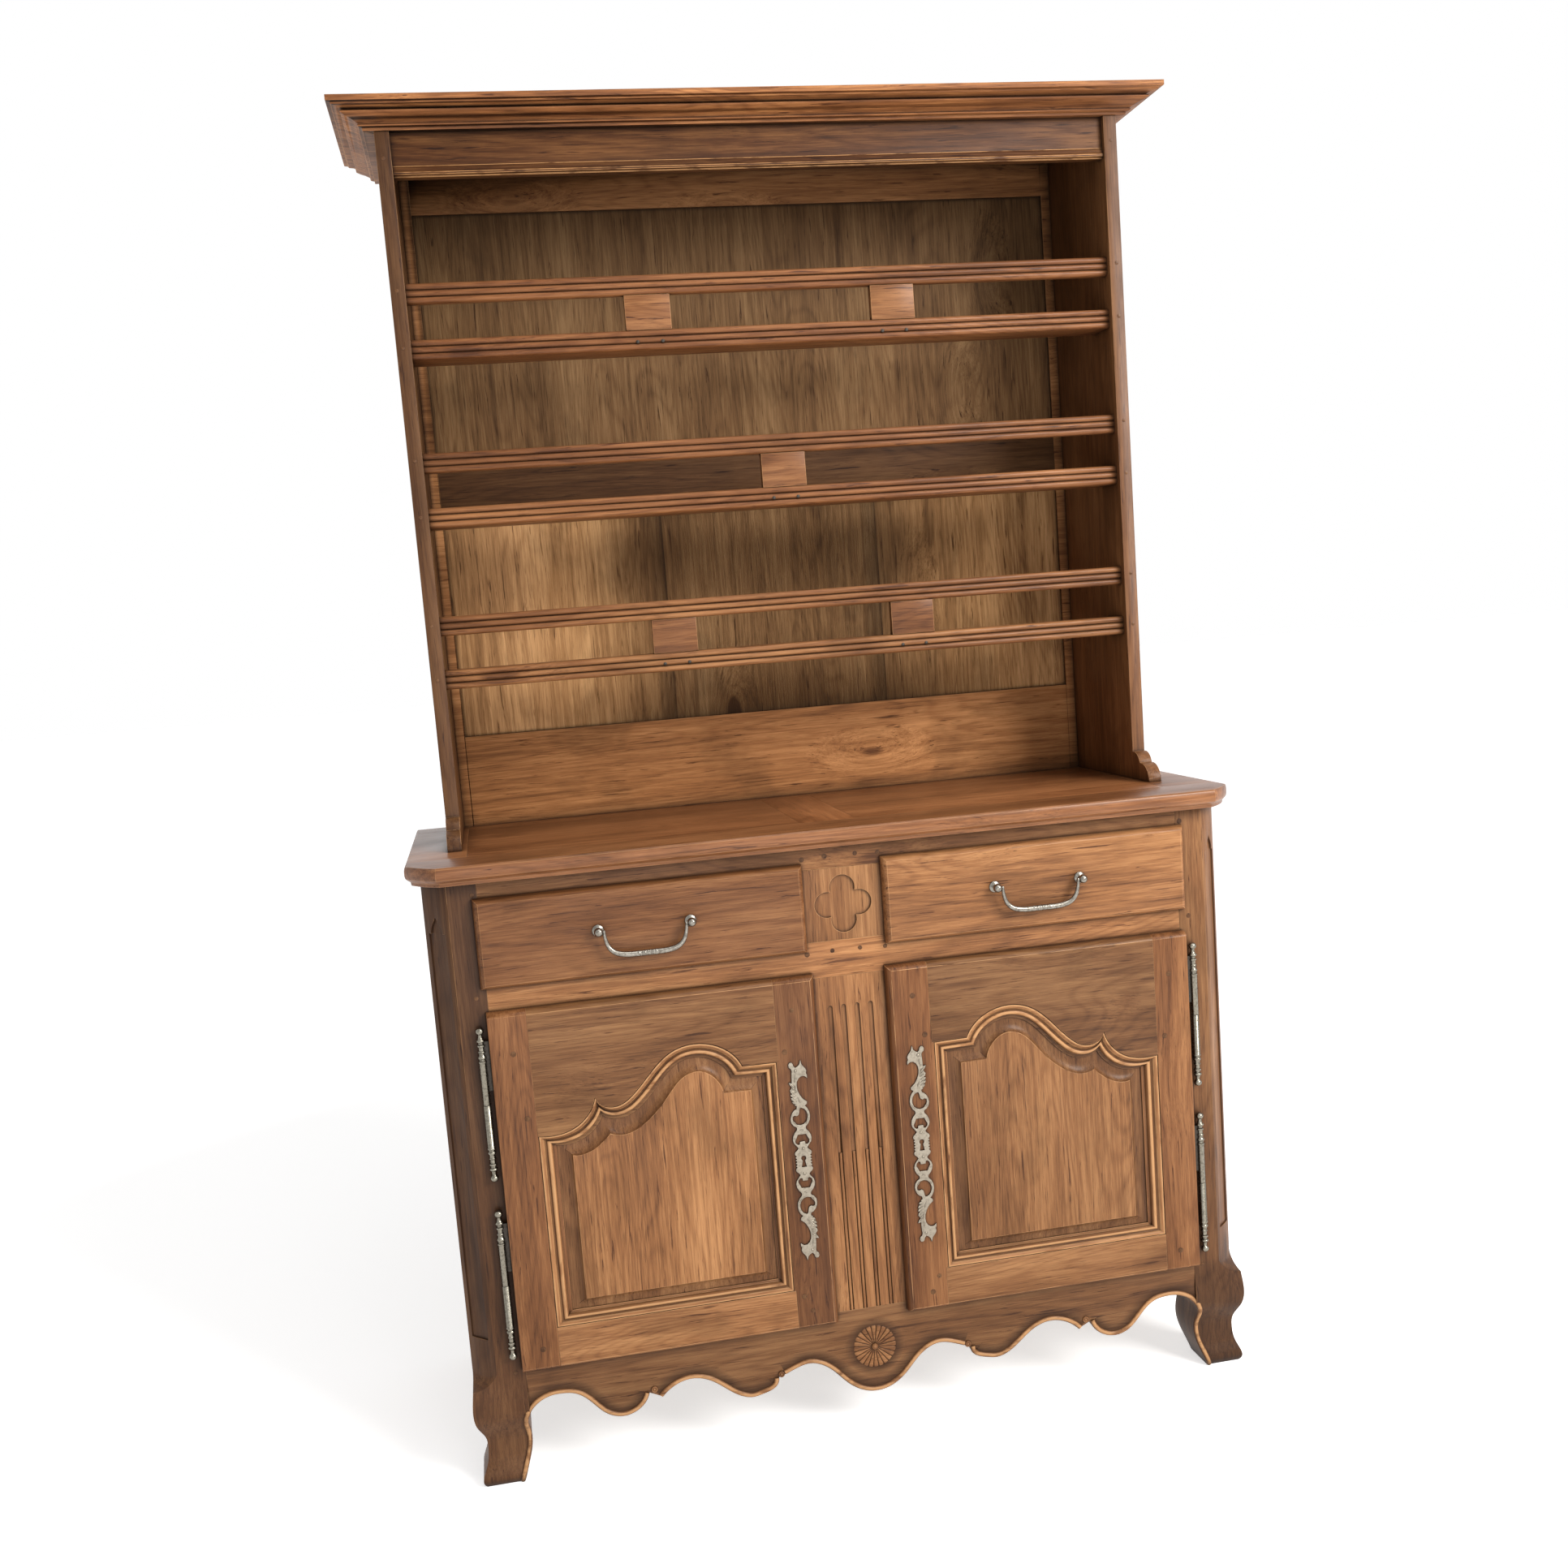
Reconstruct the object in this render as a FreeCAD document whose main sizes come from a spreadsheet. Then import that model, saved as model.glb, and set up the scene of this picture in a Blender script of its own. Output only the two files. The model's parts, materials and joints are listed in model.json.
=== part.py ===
import FreeCAD, Part
import math
import os

# A provincial French dresser: a low cupboard with two drawers over two arched doors,
# and a plate rack with a moulded cornice standing on its top.
# The origin is on the floor under the middle of the whole piece; +X is the right hand, +Y the back.
# Depths are written from the front plane of the corner posts and shifted back by FRONT.

Vector = FreeCAD.Vector
doc = FreeCAD.newDocument("dresser")

# Driving sizes in millimetres
SIZES = {
    # cupboard case
    "case_half": 631, "case_depth": 472, "case_high": 945,
    "post_wide": 81, "post_depth": 84, "cant": 37, "cant_crown": 2.5,
    "rear_post": 60, "rail_thick": 24, "tenon_long": 30, "tenon_thick": 8, "tenon_shoulder": 6,
    "door_sill": 196, "door_head": 739, "drawer_sill": 796, "drawer_head": 909, "stile_half": 76,
    # cabriole feet
    "leg_high": 182, "leg_swell": 4, "leg_waist": 12.5, "leg_toe": 6, "leg_heel": 18,
    "knee_rise": 24, "knee_proud": 32,
    # sunk panel in the canted corner
    "cant_panel_wide": 34, "cant_panel_deep": 3.5, "cant_panel_low": 236, "cant_panel_high": 870,
    "cant_panel_tip": 25, "cant_panel_ledge": 5,
    # apron and its scallops
    "apron_drop": 141,
    # centre stile with flutes, and the divider with its quatrefoil
    "flute_pitch": 21.5, "flute_wide": 7.4, "flute_deep": 2.6, "flute_top": 694, "cable_top": 456,
    "cable_clear": 0.5, "foil_reach": 45, "foil_lobe": 20, "foil_deep": 4, "foil_high": 852,
    # sides, back and inside
    "side_set_in": 4, "side_thick": 26, "side_rail_top": 80, "side_rail_low": 100, "side_low": 130,
    "panel_thick": 16, "tongue_thick": 6, "tongue_deep": 8, "panel_bevel": 22,
    "back_thick": 24, "back_rail_high": 65, "back_low": 150, "back_board": 12,
    "floor_thick": 18, "shelf_high": 470, "shelf_thick": 18, "shelf_set_back": 30, "bearer": 22,
    "runner_thick": 20, "runner_wide": 34, "guide_high": 24, "guide_thick": 12,
    # fits
    "gap": 0.3, "run_gap": 1.2, "pin_gap": 0.05,
    # fronts that stand proud of the frame
    "proud": 16.3, "front_thick": 24, "lip": 7.5, "lip_foot": 6, "lip_land": 5,
    "lap_lock": 19, "lap_end": 14, "lap_post": 8, "lap_head": 11, "lap_door_head": 9, "lap_foot": 13,
    "drawer_side": 12, "drawer_back_room": 23, "drawer_bottom": 8, "drawer_bottom_up": 10,
    "drawer_low_side": 100,
    # doors
    "door_stile": 58, "door_rail_low": 60, "door_hinge_lip": 4,
    "arch_below_head": 187, "arch_rise": 113, "mould_wide": 25, "bevel_wide": 22,
    "quirk_deep": 1.6, "mould_deep": 10, "field_rise": 7.5, "panel_set_back": 2, "door_shoulder": 3,
    "door_tenon": 34,
    # hinges with finials
    "hinge_out": 16, "hinge_proud": 9.2, "hinge_long": 238, "hinge_high_low": 206, "hinge_high_up": 489.5,
    "barrel": 9.5, "hinge_ring": 12, "hinge_turned": 52, "finial": 11, "finial_neck": 6,
    "hinge_pin": 5, "hinge_pin_long": 40, "leaf_thick": 2, "leaf_long": 76, "leaf_deep": 22,
    # bail pulls
    "bail_high": 855, "bail_span": 139.5, "bail_mid": 309, "bail_drop": 38, "bail_wire": 5.2,
    "knob": 14, "knob_out": 15.2, "knob_neck": 6, "knob_rose": 17, "knob_rose_thick": 2,
    "knob_shank": 5, "knob_shank_long": 20, "bail_pin": 4.4, "bail_pin_long": 5,
    "bail_grip": 54, "bail_ring": 10,
    # pierced escutcheons
    "plate_wide": 32, "plate_thick": 2, "plate_mid": 458, "plate_in": 30.5, "plate_reach": 161,
    # lock
    "lock_wide": 40, "lock_high": 74, "lock_thick": 14, "lock_clear": 4,
    "bolt_thick": 6, "bolt_high": 16, "bolt_long": 30, "bolt_throw": 9,
    # cupboard top
    "top_end_over": 21, "top_thick": 29, "top_over": 33, "top_cant_x": 47, "top_cant_y": 57,
    "top_cove": 9, "top_nose": 3, "top_frame_front": 95, "top_frame_back": 62, "top_frame_end": 92,
    "muntin_wide": 89,
    # plate rack
    "rack_end_in": 41, "rack_board": 22, "rack_front": 196, "rack_high": 1088,
    "rack_foot_high": 47, "rack_foot_ledge": 30, "rack_foot_reach": 63,
    "slat_deep": 65, "slat_set_in": 12, "reed_high": 10, "reed_deep": 4, "plate_rail_thick": 16,
    "slat_top_up": 785, "slat_mid_up": 530, "slat_low_up": 278, "rail_gap": 54,
    "block_wide": 72, "block_thick": 14, "block_off": 199, "block_in": 2,
    "frieze_high": 65, "frieze_thick": 17, "frieze_in": 9, "frieze_mould": 16, "frieze_mould_out": 5,
    "back_frame_thick": 24, "back_stile": 16, "rack_rail_top": 58, "rack_rail_mid": 105,
    "rack_rail_mid_up": 531, "rack_rail_low": 156,
    "cornice_high": 38, "cornice_reach": 50, "cornice_out": 13, "cornice_wall": 20, "dust_board": 12,
    # one overrun for every cut
    "over": 5,
}

sheet = doc.addObject("Spreadsheet::Sheet", "Sizes")
for row, (alias, number) in enumerate(SIZES.items(), start=1):
    sheet.set("A%d" % row, alias)
    sheet.set("B%d" % row, str(number))
    sheet.setAlias("B%d" % row, alias)
doc.recompute()


class Named:
    """The sheet's sizes, read by name."""

    def __getattr__(self, alias):
        return float(sheet.get(alias))


s = Named()


def sized(text):
    """The text of an expression, with every size named in it read from the sheet."""
    words = text.replace("(", " ( ").replace(")", " ) ").split()
    return " ".join("Sizes." + word if word in SIZES else word for word in words)


# The front-most point is the knobs of the pulls, the back-most the back of the case
FRONT_Y = (s.proud + s.knob_out + s.knob / 2 - s.case_depth) / 2
FRONT = "( proud + knob_out + knob / 2 - case_depth ) / 2"
nodes = {}
# Lengths that follow others
DRAWER_DEEP = "( case_depth - back_thick - drawer_back_room )"
TOP_HALF = "( case_half + top_end_over )"
RACK_HALF = "( case_half - rack_end_in )"
top_half, rack_half = s.case_half + s.top_end_over, s.case_half - s.rack_end_in


def node(piece, name):
    """Name a finished sub-part; its label is its file's name."""
    piece.Label = name
    nodes[name] = piece
    return piece


def bind(piece, **texts):
    """Bind properties of a document object to expressions in the named sizes."""
    for prop, text in texts.items():
        piece.setExpression(prop, sized(text))
    return piece


def place(piece, x="0", y="0", z="0"):
    """Bind an object's place; y counts from the post front plane."""
    piece.setExpression(".Placement.Base.x", sized(x))
    piece.setExpression(".Placement.Base.y", sized(FRONT + " + " + y))
    piece.setExpression(".Placement.Base.z", sized(z))
    return piece


def board(name, x, y, z):
    """A squared board between two planes on each axis."""
    piece = doc.addObject("Part::Box", name)
    bind(piece, Length="( %s ) - ( %s )" % (x[1], x[0]), Width="( %s ) - ( %s )" % (y[1], y[0]),
         Height="( %s ) - ( %s )" % (z[1], z[0]))
    return place(piece, x[0], y[0], z[0])


def rod(name, axis, radius, length, x, y, z):
    """A round rod along axis X, Y or Z from its start point."""
    turn = {"X": (Vector(0, 1, 0), 90), "Y": (Vector(1, 0, 0), -90), "Z": (Vector(0, 0, 1), 0)}[axis]
    piece = doc.addObject("Part::Cylinder", name)
    bind(piece, Radius=radius, Height=length)
    piece.Placement.Rotation = FreeCAD.Rotation(*turn)
    return place(piece, x, y, z)


def cut(name, base, *tools):
    """The base with every tool taken out of it."""
    tool = tools[0] if len(tools) == 1 else fuse(name + "_tools", *tools)
    piece = doc.addObject("Part::Cut", name)
    piece.Base, piece.Tool, piece.Refine = base, tool, True
    return piece


def fuse(name, *parts):
    """Several solids as one."""
    piece = doc.addObject("Part::MultiFuse", name)
    piece.Shapes, piece.Refine = list(parts), True
    return piece


def common(name, *parts):
    """What the parts share."""
    piece = doc.addObject("Part::MultiCommon", name)
    piece.Shapes, piece.Refine = list(parts), True
    return piece


def group(name, *parts):
    """Separate solids of one kind in one node."""
    piece = doc.addObject("Part::Compound", name)
    piece.Links = list(parts)
    return piece


def mirrored(name, source):
    """The left-hand twin of a right-hand piece."""
    piece = doc.addObject("Part::Mirroring", name)
    piece.Source, piece.Normal, piece.Base = source, Vector(1, 0, 0), Vector(0, 0, 0)
    return piece


def curves(start, *moves):
    """Edges of an outline from start: a point is a straight run, a list of points a smooth curve,
    and a pair (through, end) an arc."""
    made, here = [], start
    for move in moves:
        if isinstance(move, list):
            curve = Part.BSplineCurve()
            curve.interpolate([Vector(*here, 0)] + [Vector(*point, 0) for point in move])
            here = move[-1]
        elif isinstance(move[0], tuple):
            curve = Part.Arc(Vector(*here, 0), Vector(*move[0], 0), Vector(*move[1], 0))
            here = move[1]
        else:
            curve = Part.LineSegment(Vector(*here, 0), Vector(*move, 0))
            here = move
        made.append(curve)
    if math.dist(start, here) > 1e-9:
        made.append(Part.LineSegment(Vector(*here, 0), Vector(*start, 0)))
    return made


# The three views that outlines are drawn in
VIEWS = {
    "front": (FreeCAD.Rotation(Vector(1, 0, 0), Vector(0, 0, 1), Vector(0, -1, 0), "XYZ"), Vector(0, 1, 0)),
    "side": (FreeCAD.Rotation(Vector(0, 1, 0), Vector(0, 0, 1), Vector(1, 0, 0), "XYZ"), Vector(1, 0, 0)),
    "plan": (FreeCAD.Rotation(), Vector(0, 0, 1)),
}


def drawing(name, view, made, x="0", y="0", z="0"):
    """A sketch of an outline in one of the views, at a bound place."""
    sketch = doc.addObject("Sketcher::SketchObject", name)
    sketch.addGeometry(made, False)
    sketch.Placement.Rotation = VIEWS[view][0]
    return place(sketch, x, y, z)


def prism(name, view, made, length, x="0", y="0", z="0"):
    """An outline drawn in a view and carried straight back, right or up by a bound length."""
    piece = doc.addObject("Part::Extrusion", name)
    piece.Base = drawing(name + "_outline", view, made, x, y, z)
    piece.DirMode, piece.Dir, piece.Solid = "Custom", VIEWS[view][1], True
    bind(piece, LengthFwd=length)
    return piece


def lofted(name, sections, ruled=True):
    """A solid through a row of sketches."""
    piece = doc.addObject("Part::Loft", name)
    piece.Sections, piece.Solid, piece.Ruled = sections, True, ruled
    return piece


# Corner posts: a canted post that runs down into a cabriole foot, sawn from two faces
# Foot outline: shares of the leg's height, with shares of its swell, waist, toe and heel
FOOT_OUTER_SHARES = [(0.863, "swell", 0.25), (0.714, "swell", 1), (0.55, "swell", 0), (0.418, "waist", 0.88),
                     (0.308, "waist", 1), (0.17, "waist", 0.64), (0.055, "waist", 0.08)]
FOOT_INNER_SHARES = [(0.126, 0.56), (0.269, 0.11), (0.44, 0.055), (0.56, 0.16)]


def foot_outline(wide):
    """One face of the leg, from its inner side (0) to its outer side (wide)."""
    reach = {"swell": s.leg_swell, "waist": -s.leg_waist}
    outer = [(wide + share * reach[name], up * s.leg_high) for up, name, share in FOOT_OUTER_SHARES]
    inner = [(share * s.leg_heel, up * s.leg_high) for up, share in FOOT_INNER_SHARES]
    toe, heel = (wide - s.leg_toe, 0), (s.leg_heel, 0)
    return curves((wide, s.leg_high), outer + [toe], heel, inner + [(0, 0.62 * s.leg_high)], (0, s.leg_high))


def corner_post(name):
    """A front post of the right-hand corner."""
    inner = "case_half - post_wide"
    leg_front = prism(name + "_leg_front", "front", foot_outline(s.post_wide),
                      "post_depth + leg_swell + over",
                      x=inner, y="0 - leg_swell")
    side = [curve.mirror(Vector(0, 0, 0), Vector(0, 1, 0)) or curve for curve in foot_outline(s.post_depth)]
    leg_side = prism(name + "_leg_side", "side", side, "post_wide + leg_swell + over", x=inner,
                     y="post_depth")
    leg = common(name + "_leg", leg_front, leg_side)
    shaft = board(name + "_shaft", (inner, "case_half"), ("0", "post_depth"), ("leg_high", "case_high"))
    # The cant is a slightly crowned face that ends in a rounded shoulder over the knee
    side_long, crown = s.cant, s.cant_crown / math.sqrt(2)
    start, end = (-s.cant, 0), (0, s.cant)
    middle = (-side_long / 2 + crown, side_long / 2 - crown)
    corner = prism(name + "_corner", "plan",
                   curves(start, (middle, end), (s.over, s.cant), (s.over, -s.over), (-s.cant, -s.over)),
                   "case_high - leg_high + knee_rise + over", x="case_half", z="leg_high - knee_rise")
    slope = drawing(name + "_shoulder_outline", "side",
                    curves((0, s.case_high + s.over), (0, s.leg_high),
                           ((-s.knee_proud * 0.25, s.leg_high - s.knee_rise * 0.6),
                            (-s.knee_proud, s.leg_high - s.knee_rise)),
                           (-s.knee_proud - s.case_half, s.leg_high - s.knee_rise),
                           (-s.knee_proud - s.case_half, s.case_high + s.over)))
    slope.Placement.Rotation = FreeCAD.Rotation(Vector(0, 0, 1), 45) * VIEWS["side"][0]
    place(slope, x="case_half - cant - case_half / 2", y="0 - case_half / 2")
    shoulder = doc.addObject("Part::Extrusion", name + "_shoulder")
    shoulder.Base, shoulder.DirMode, shoulder.Solid = slope, "Custom", True
    shoulder.Dir = Vector(1, 1, 0)
    bind(shoulder, LengthFwd="case_half * 1.5")
    waste = common(name + "_waste", corner, shoulder)
    # The sunk panel, with a small ledge each side of an ogee top
    half, ledge = s.cant_panel_wide / 2, s.cant_panel_ledge
    low, high, tip = s.cant_panel_low, s.cant_panel_high, s.cant_panel_high + s.cant_panel_tip
    arch = curves((-half, low), (half, low), (half, high), (half - ledge, high),
                  [(half - ledge * 1.6, high + s.cant_panel_tip * 0.42),
                   (ledge * 0.6, tip - s.cant_panel_tip * 0.2),
                   (0, tip)],
                  [(-ledge * 0.6, tip - s.cant_panel_tip * 0.2),
                   (ledge * 1.6 - half, high + s.cant_panel_tip * 0.42),
                   (ledge - half, high)],
                  (-half, high))
    sunk_face = drawing(name + "_panel_outline", "front", arch)
    sunk_face.Placement.Rotation = FreeCAD.Rotation(Vector(0, 0, 1), 45) * VIEWS["front"][0]
    place(sunk_face, x="case_half - cant / 2 - ( cant_panel_deep - cant_crown ) * 0.7071",
          y="cant / 2 + ( cant_panel_deep - cant_crown ) * 0.7071")
    sunk = doc.addObject("Part::Extrusion", name + "_panel")
    sunk.Base, sunk.DirMode, sunk.Dir, sunk.Solid = sunk_face, "Custom", Vector(1, -1, 0), True
    bind(sunk, LengthFwd="cant_panel_deep + cant_crown + over")
    mortises = [rail_tenon("%s_mortise_%d" % (name, i), *spans)
                for i, spans in enumerate(FRONT_RAILS.values())]
    leaves = [hinge_leaf("%s_leaf_%d" % (name, i), low) for i, low in enumerate(HINGE_LOWS)]
    return cut(name, fuse(name + "_blank", leg, shaft), waste, sunk, *mortises, *leaves)


# Front rails between the posts: low edge and high edge of each
FRONT_RAILS = {
    "top_rail": ("drawer_head", "case_high"),
    "middle_rail": ("door_head", "drawer_sill"),
    "apron": ("door_sill - apron_drop / 2 + tenon_shoulder", "door_sill"),
}
HINGE_LOWS = ("hinge_high_low", "hinge_high_up")
OPEN_SIDE = "case_half - post_wide"


def rail_tenon(name, low, high):
    """The tenon at a front rail's right end."""
    return board(name, (OPEN_SIDE, OPEN_SIDE + " + tenon_long"),
                 ("( rail_thick - tenon_thick ) / 2", "( rail_thick + tenon_thick ) / 2"),
                 (low + " + tenon_shoulder", high + " - tenon_shoulder"))


def hinge_leaf(name, low):
    """The leaf of a fixed hinge half, let into the post's front face."""
    axis = OPEN_SIDE + " + hinge_out"
    return board(name, (axis + " - leaf_thick / 2", axis + " + leaf_thick / 2"),
                 ("0 - hinge_proud", "leaf_deep"),
                 (low + " + hinge_long / 4 - leaf_long / 4", low + " + hinge_long / 4 + leaf_long / 4"))


def front_rail(name, body):
    """A front rail with a tenon at each end."""
    right = rail_tenon(name + "_tenon", *FRONT_RAILS[name])
    return node(fuse(name, body, right, mirrored(name + "_tenon_left", right)), name)


right_post = node(corner_post("front_right_post"), "front_right_post")
node(mirrored("front_left_post", right_post), "front_left_post")
for rail in ("top_rail", "middle_rail"):
    front_rail(rail, board(rail + "_body", ("0 - ( case_half - post_wide )", OPEN_SIDE), ("0", "rail_thick"),
                           FRONT_RAILS[rail]))

# Apron edge, half of it from the middle outwards: shares of the half width, and of the drop
# below the door sill; short straight runs are the eyes of the volutes
APRON_EDGE_SHARES = [
    [(0.044, 0.965), (0.087, 0.851), (0.136, 0.652), (0.196, 0.55), (0.235, 0.582), (0.267, 0.631)],
    (0.288, 0.656),
    [(0.295, 0.745), (0.342, 0.823), (0.364, 0.837), (0.387, 0.823), (0.438, 0.702), (0.487, 0.56),
     (0.542, 0.504), (0.585, 0.546), (0.625, 0.66)],
    (0.662, 0.589),
    [(0.698, 0.766), (0.742, 0.809), (0.785, 0.752), (0.835, 0.553), (0.873, 0.454), (0.905, 0.433),
     (0.933, 0.436), (0.973, 0.496), (1, 0.61)],
]


def scalloped(shares, half, top, drop):
    """A closed outline whose lower edge is the scallop and its mirror image."""
    def at(point, hand):
        return (hand * point[0] * half, top - point[1] * drop)
    right = [[at(p, 1) for p in move] if isinstance(move, list) else at(move, 1) for move in shares]
    left = []
    ends = [(0, 1)] + [move[-1] if isinstance(move, list) else move for move in shares]
    for move, start in zip(reversed(shares), reversed(ends[:-1])):
        if isinstance(move, list):
            left.append([at(p, -1) for p in reversed([start] + move[:-1])])
        else:
            left.append(at(start, -1))
    return curves((0, top - drop), *right, (half, top), (-half, top), at(ends[-1], -1), *left)


apron_half = s.case_half - s.post_wide
front_rail("apron",
           prism("apron_body", "front", scalloped(APRON_EDGE_SHARES, apron_half, s.door_sill, s.apron_drop),
                          "rail_thick"))


def body_pad(name, view_role, made, length, x="0", y="0", z="0", reverse=False):
    """A PartDesign body with one padded sketch on one of its own origin planes."""
    body = doc.addObject("PartDesign::Body", name)
    plane = [feature for feature in body.Origin.OriginFeatures if feature.Role == view_role][0]
    sketch = body.newObject("Sketcher::SketchObject", name + "_sketch")
    sketch.AttachmentSupport, sketch.MapMode = [(plane, "")], "FlatFace"
    sketch.addGeometry(made, False)
    pad = body.newObject("PartDesign::Pad", name + "_pad")
    pad.Profile, pad.Reversed = sketch, reverse
    bind(pad, Length=length)
    place(body, x, y, z)
    return body, plane, pad


def pocket(body, plane, name, made, depth):
    """A pocket cut into the body from the sketch plane on its front face."""
    sketch = body.newObject("Sketcher::SketchObject", name + "_sketch")
    sketch.AttachmentSupport, sketch.MapMode = [(plane, "")], "FlatFace"
    sketch.addGeometry(made, False)
    made_pocket = body.newObject("PartDesign::Pocket", name)
    made_pocket.Profile = sketch
    bind(made_pocket, Length=depth)
    return made_pocket, sketch


def rectangle(x_low, x_high, z_low, z_high):
    """A closed square-cornered outline."""
    return curves((x_low, z_low), (x_high, z_low), (x_high, z_high), (x_low, z_high))


def fluted_stile():
    """The fixed centre stile, with four flutes that are cabled in their lower part."""
    height = s.door_head - s.door_sill
    body, plane, pad = body_pad("stile_body", "XZ_Plane", rectangle(-s.stile_half, s.stile_half, 0, height),
                                "rail_thick", z="door_sill", reverse=True)
    half, top, cable = s.flute_wide / 2, s.flute_top - s.door_sill, s.cable_top - s.door_sill
    first = -1.5 * s.flute_pitch
    flute = curves((first - half, 0), (first + half, 0), (first + half, top - half),
                   ((first, top), (first - half, top - half)))
    cutting, flute_sketch = pocket(body, plane, "flute", flute, "flute_deep")
    pattern = body.newObject("PartDesign::LinearPattern", "flutes")
    pattern.Originals, pattern.Direction = [cutting], (flute_sketch, ["H_Axis"])
    pattern.Occurrences = 4
    bind(pattern, Length="3 * flute_pitch")
    body.Tip = pattern
    rods = []
    for index in range(4):
        x = "( %d - 1.5 ) * flute_pitch" % index
        stick = rod("cable_%d" % index, "Z", "flute_wide / 2 - cable_clear", "cable_top - door_sill", x,
                    "flute_wide / 2 - cable_clear / 2", "door_sill")
        rods.append(stick)
    mortise = board("bolt_mortise", ("stile_half - bolt_throw - bearer / 2", "stile_half"),
                    ("front_thick - proud + lock_thick / 2 - bolt_thick / 2 - gap",
                     "front_thick - proud + lock_thick / 2 + bolt_thick / 2 + gap"),
                    ("plate_mid - bolt_high / 2 - gap", "plate_mid + bolt_high / 2 + gap"))
    return cut("fluted_stile", fuse("stile_with_cables", body, *rods), mortise)


node(fluted_stile(), "fluted_stile")


def quatrefoil():
    """Four round lobes about a centre, with a nick between each two."""
    off, lobe = s.foil_reach - s.foil_lobe, s.foil_lobe
    nick = off / 2 + math.sqrt(lobe ** 2 - off ** 2 / 2) / math.sqrt(2)
    corners = [(nick, -nick), (nick, nick), (-nick, nick), (-nick, -nick)]
    tips = [(s.foil_reach, 0), (0, s.foil_reach), (-s.foil_reach, 0), (0, -s.foil_reach)]
    moves = [(tip, corner) for tip, corner in zip(tips, corners[1:] + corners[:1])]
    return curves(corners[0], *moves)


divider, divider_plane, divider_pad = body_pad(
    "drawer_divider", "XZ_Plane",
    rectangle(-s.stile_half, s.stile_half, s.drawer_sill - s.foil_high, s.drawer_head - s.foil_high),
    "rail_thick", z="foil_high", reverse=True)
pocket(divider, divider_plane, "quatrefoil", quatrefoil(), "foil_deep")
node(divider, "drawer_divider")

# Back posts, side frames, back and the boards inside
BACK = "case_depth"
rear = board("rear_post_right", ("case_half - rear_post", "case_half"), (BACK + " - rear_post", BACK),
             ("0", "case_high"))
node(group("rear_posts", rear, mirrored("rear_post_left", rear)), "rear_posts")

SIDE_X = ("case_half - side_set_in - side_thick", "case_half - side_set_in")
SIDE_Y = ("post_depth", "case_depth - rear_post")
tongue_x = ("case_half - side_set_in - ( side_thick + tongue_thick ) / 2",
            "case_half - side_set_in - ( side_thick - tongue_thick ) / 2")
side_panel_low, side_panel_high = "side_low + side_rail_low", "case_high - side_rail_top"
side_tongue = board("side_tongue", tongue_x, SIDE_Y,
                    (side_panel_low + " - tongue_deep", side_panel_high + " + tongue_deep"))
side_field = board("side_field", (tongue_x[0], "case_half - side_set_in - tongue_thick"),
                   ("post_depth + panel_bevel", "case_depth - rear_post - panel_bevel"),
                   (side_panel_low + " + panel_bevel", side_panel_high + " - panel_bevel"))
side_panel = fuse("side_panel_right", side_tongue, side_field)
node(group("side_panels", side_panel, mirrored("side_panel_left", side_panel)), "side_panels")
side_rails = [cut("side_top_rail", board("side_top_blank", SIDE_X, SIDE_Y, (side_panel_high, "case_high")),
                  side_tongue),
              cut("side_low_rail", board("side_low_blank", SIDE_X, SIDE_Y, ("side_low", side_panel_low)),
                  side_tongue)]
node(group("side_rails", *side_rails, *[mirrored(rail.Name + "_left", rail) for rail in side_rails]),
     "side_rails")

BACK_X = ("0 - ( case_half - rear_post )", "case_half - rear_post")
BACK_Y = ("case_depth - back_thick", "case_depth")
node(group("case_back_rails",
           board("case_back_top", BACK_X, BACK_Y, ("case_high - back_rail_high", "case_high")),
           board("case_back_low", BACK_X, BACK_Y, ("back_low", "back_low + back_rail_high * 1.4"))),
           "case_back_rails")
node(board("case_back_panel", BACK_X, ("case_depth - ( back_thick + back_board ) / 2",
                                       "case_depth - ( back_thick - back_board ) / 2"),
           ("back_low + back_rail_high * 1.4", "case_high - back_rail_high")), "case_back_panel")

# The floor and the shelf go round the posts to the side rails
INNER_Y = ("rail_thick", "case_depth - back_thick")
SIDE_IN = "case_half - side_set_in - side_thick"


def notched_board(name, front, low, thick):
    """A full-width board between the side frames, notched round the four posts."""
    blank = board(name + "_blank", ("0 - ( %s )" % SIDE_IN, SIDE_IN), (front, INNER_Y[1]),
                  (low, low + " + " + thick))
    notches = [board(name + "_front_notch", (OPEN_SIDE, "case_half"), ("0", "post_depth"),
                     ("0", "case_high")),
               board(name + "_rear_notch", ("case_half - rear_post", "case_half"), (SIDE_Y[1], BACK),
                     ("0", "case_high"))]
    notches += [mirrored(notch.Name + "_left", notch) for notch in notches]
    return cut(name, blank, *notches)


node(notched_board("cupboard_floor", INNER_Y[0], "door_sill - floor_thick", "floor_thick"), "cupboard_floor")
node(notched_board("inner_shelf", INNER_Y[0] + " + shelf_set_back", "shelf_high", "shelf_thick"),
     "inner_shelf")

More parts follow.
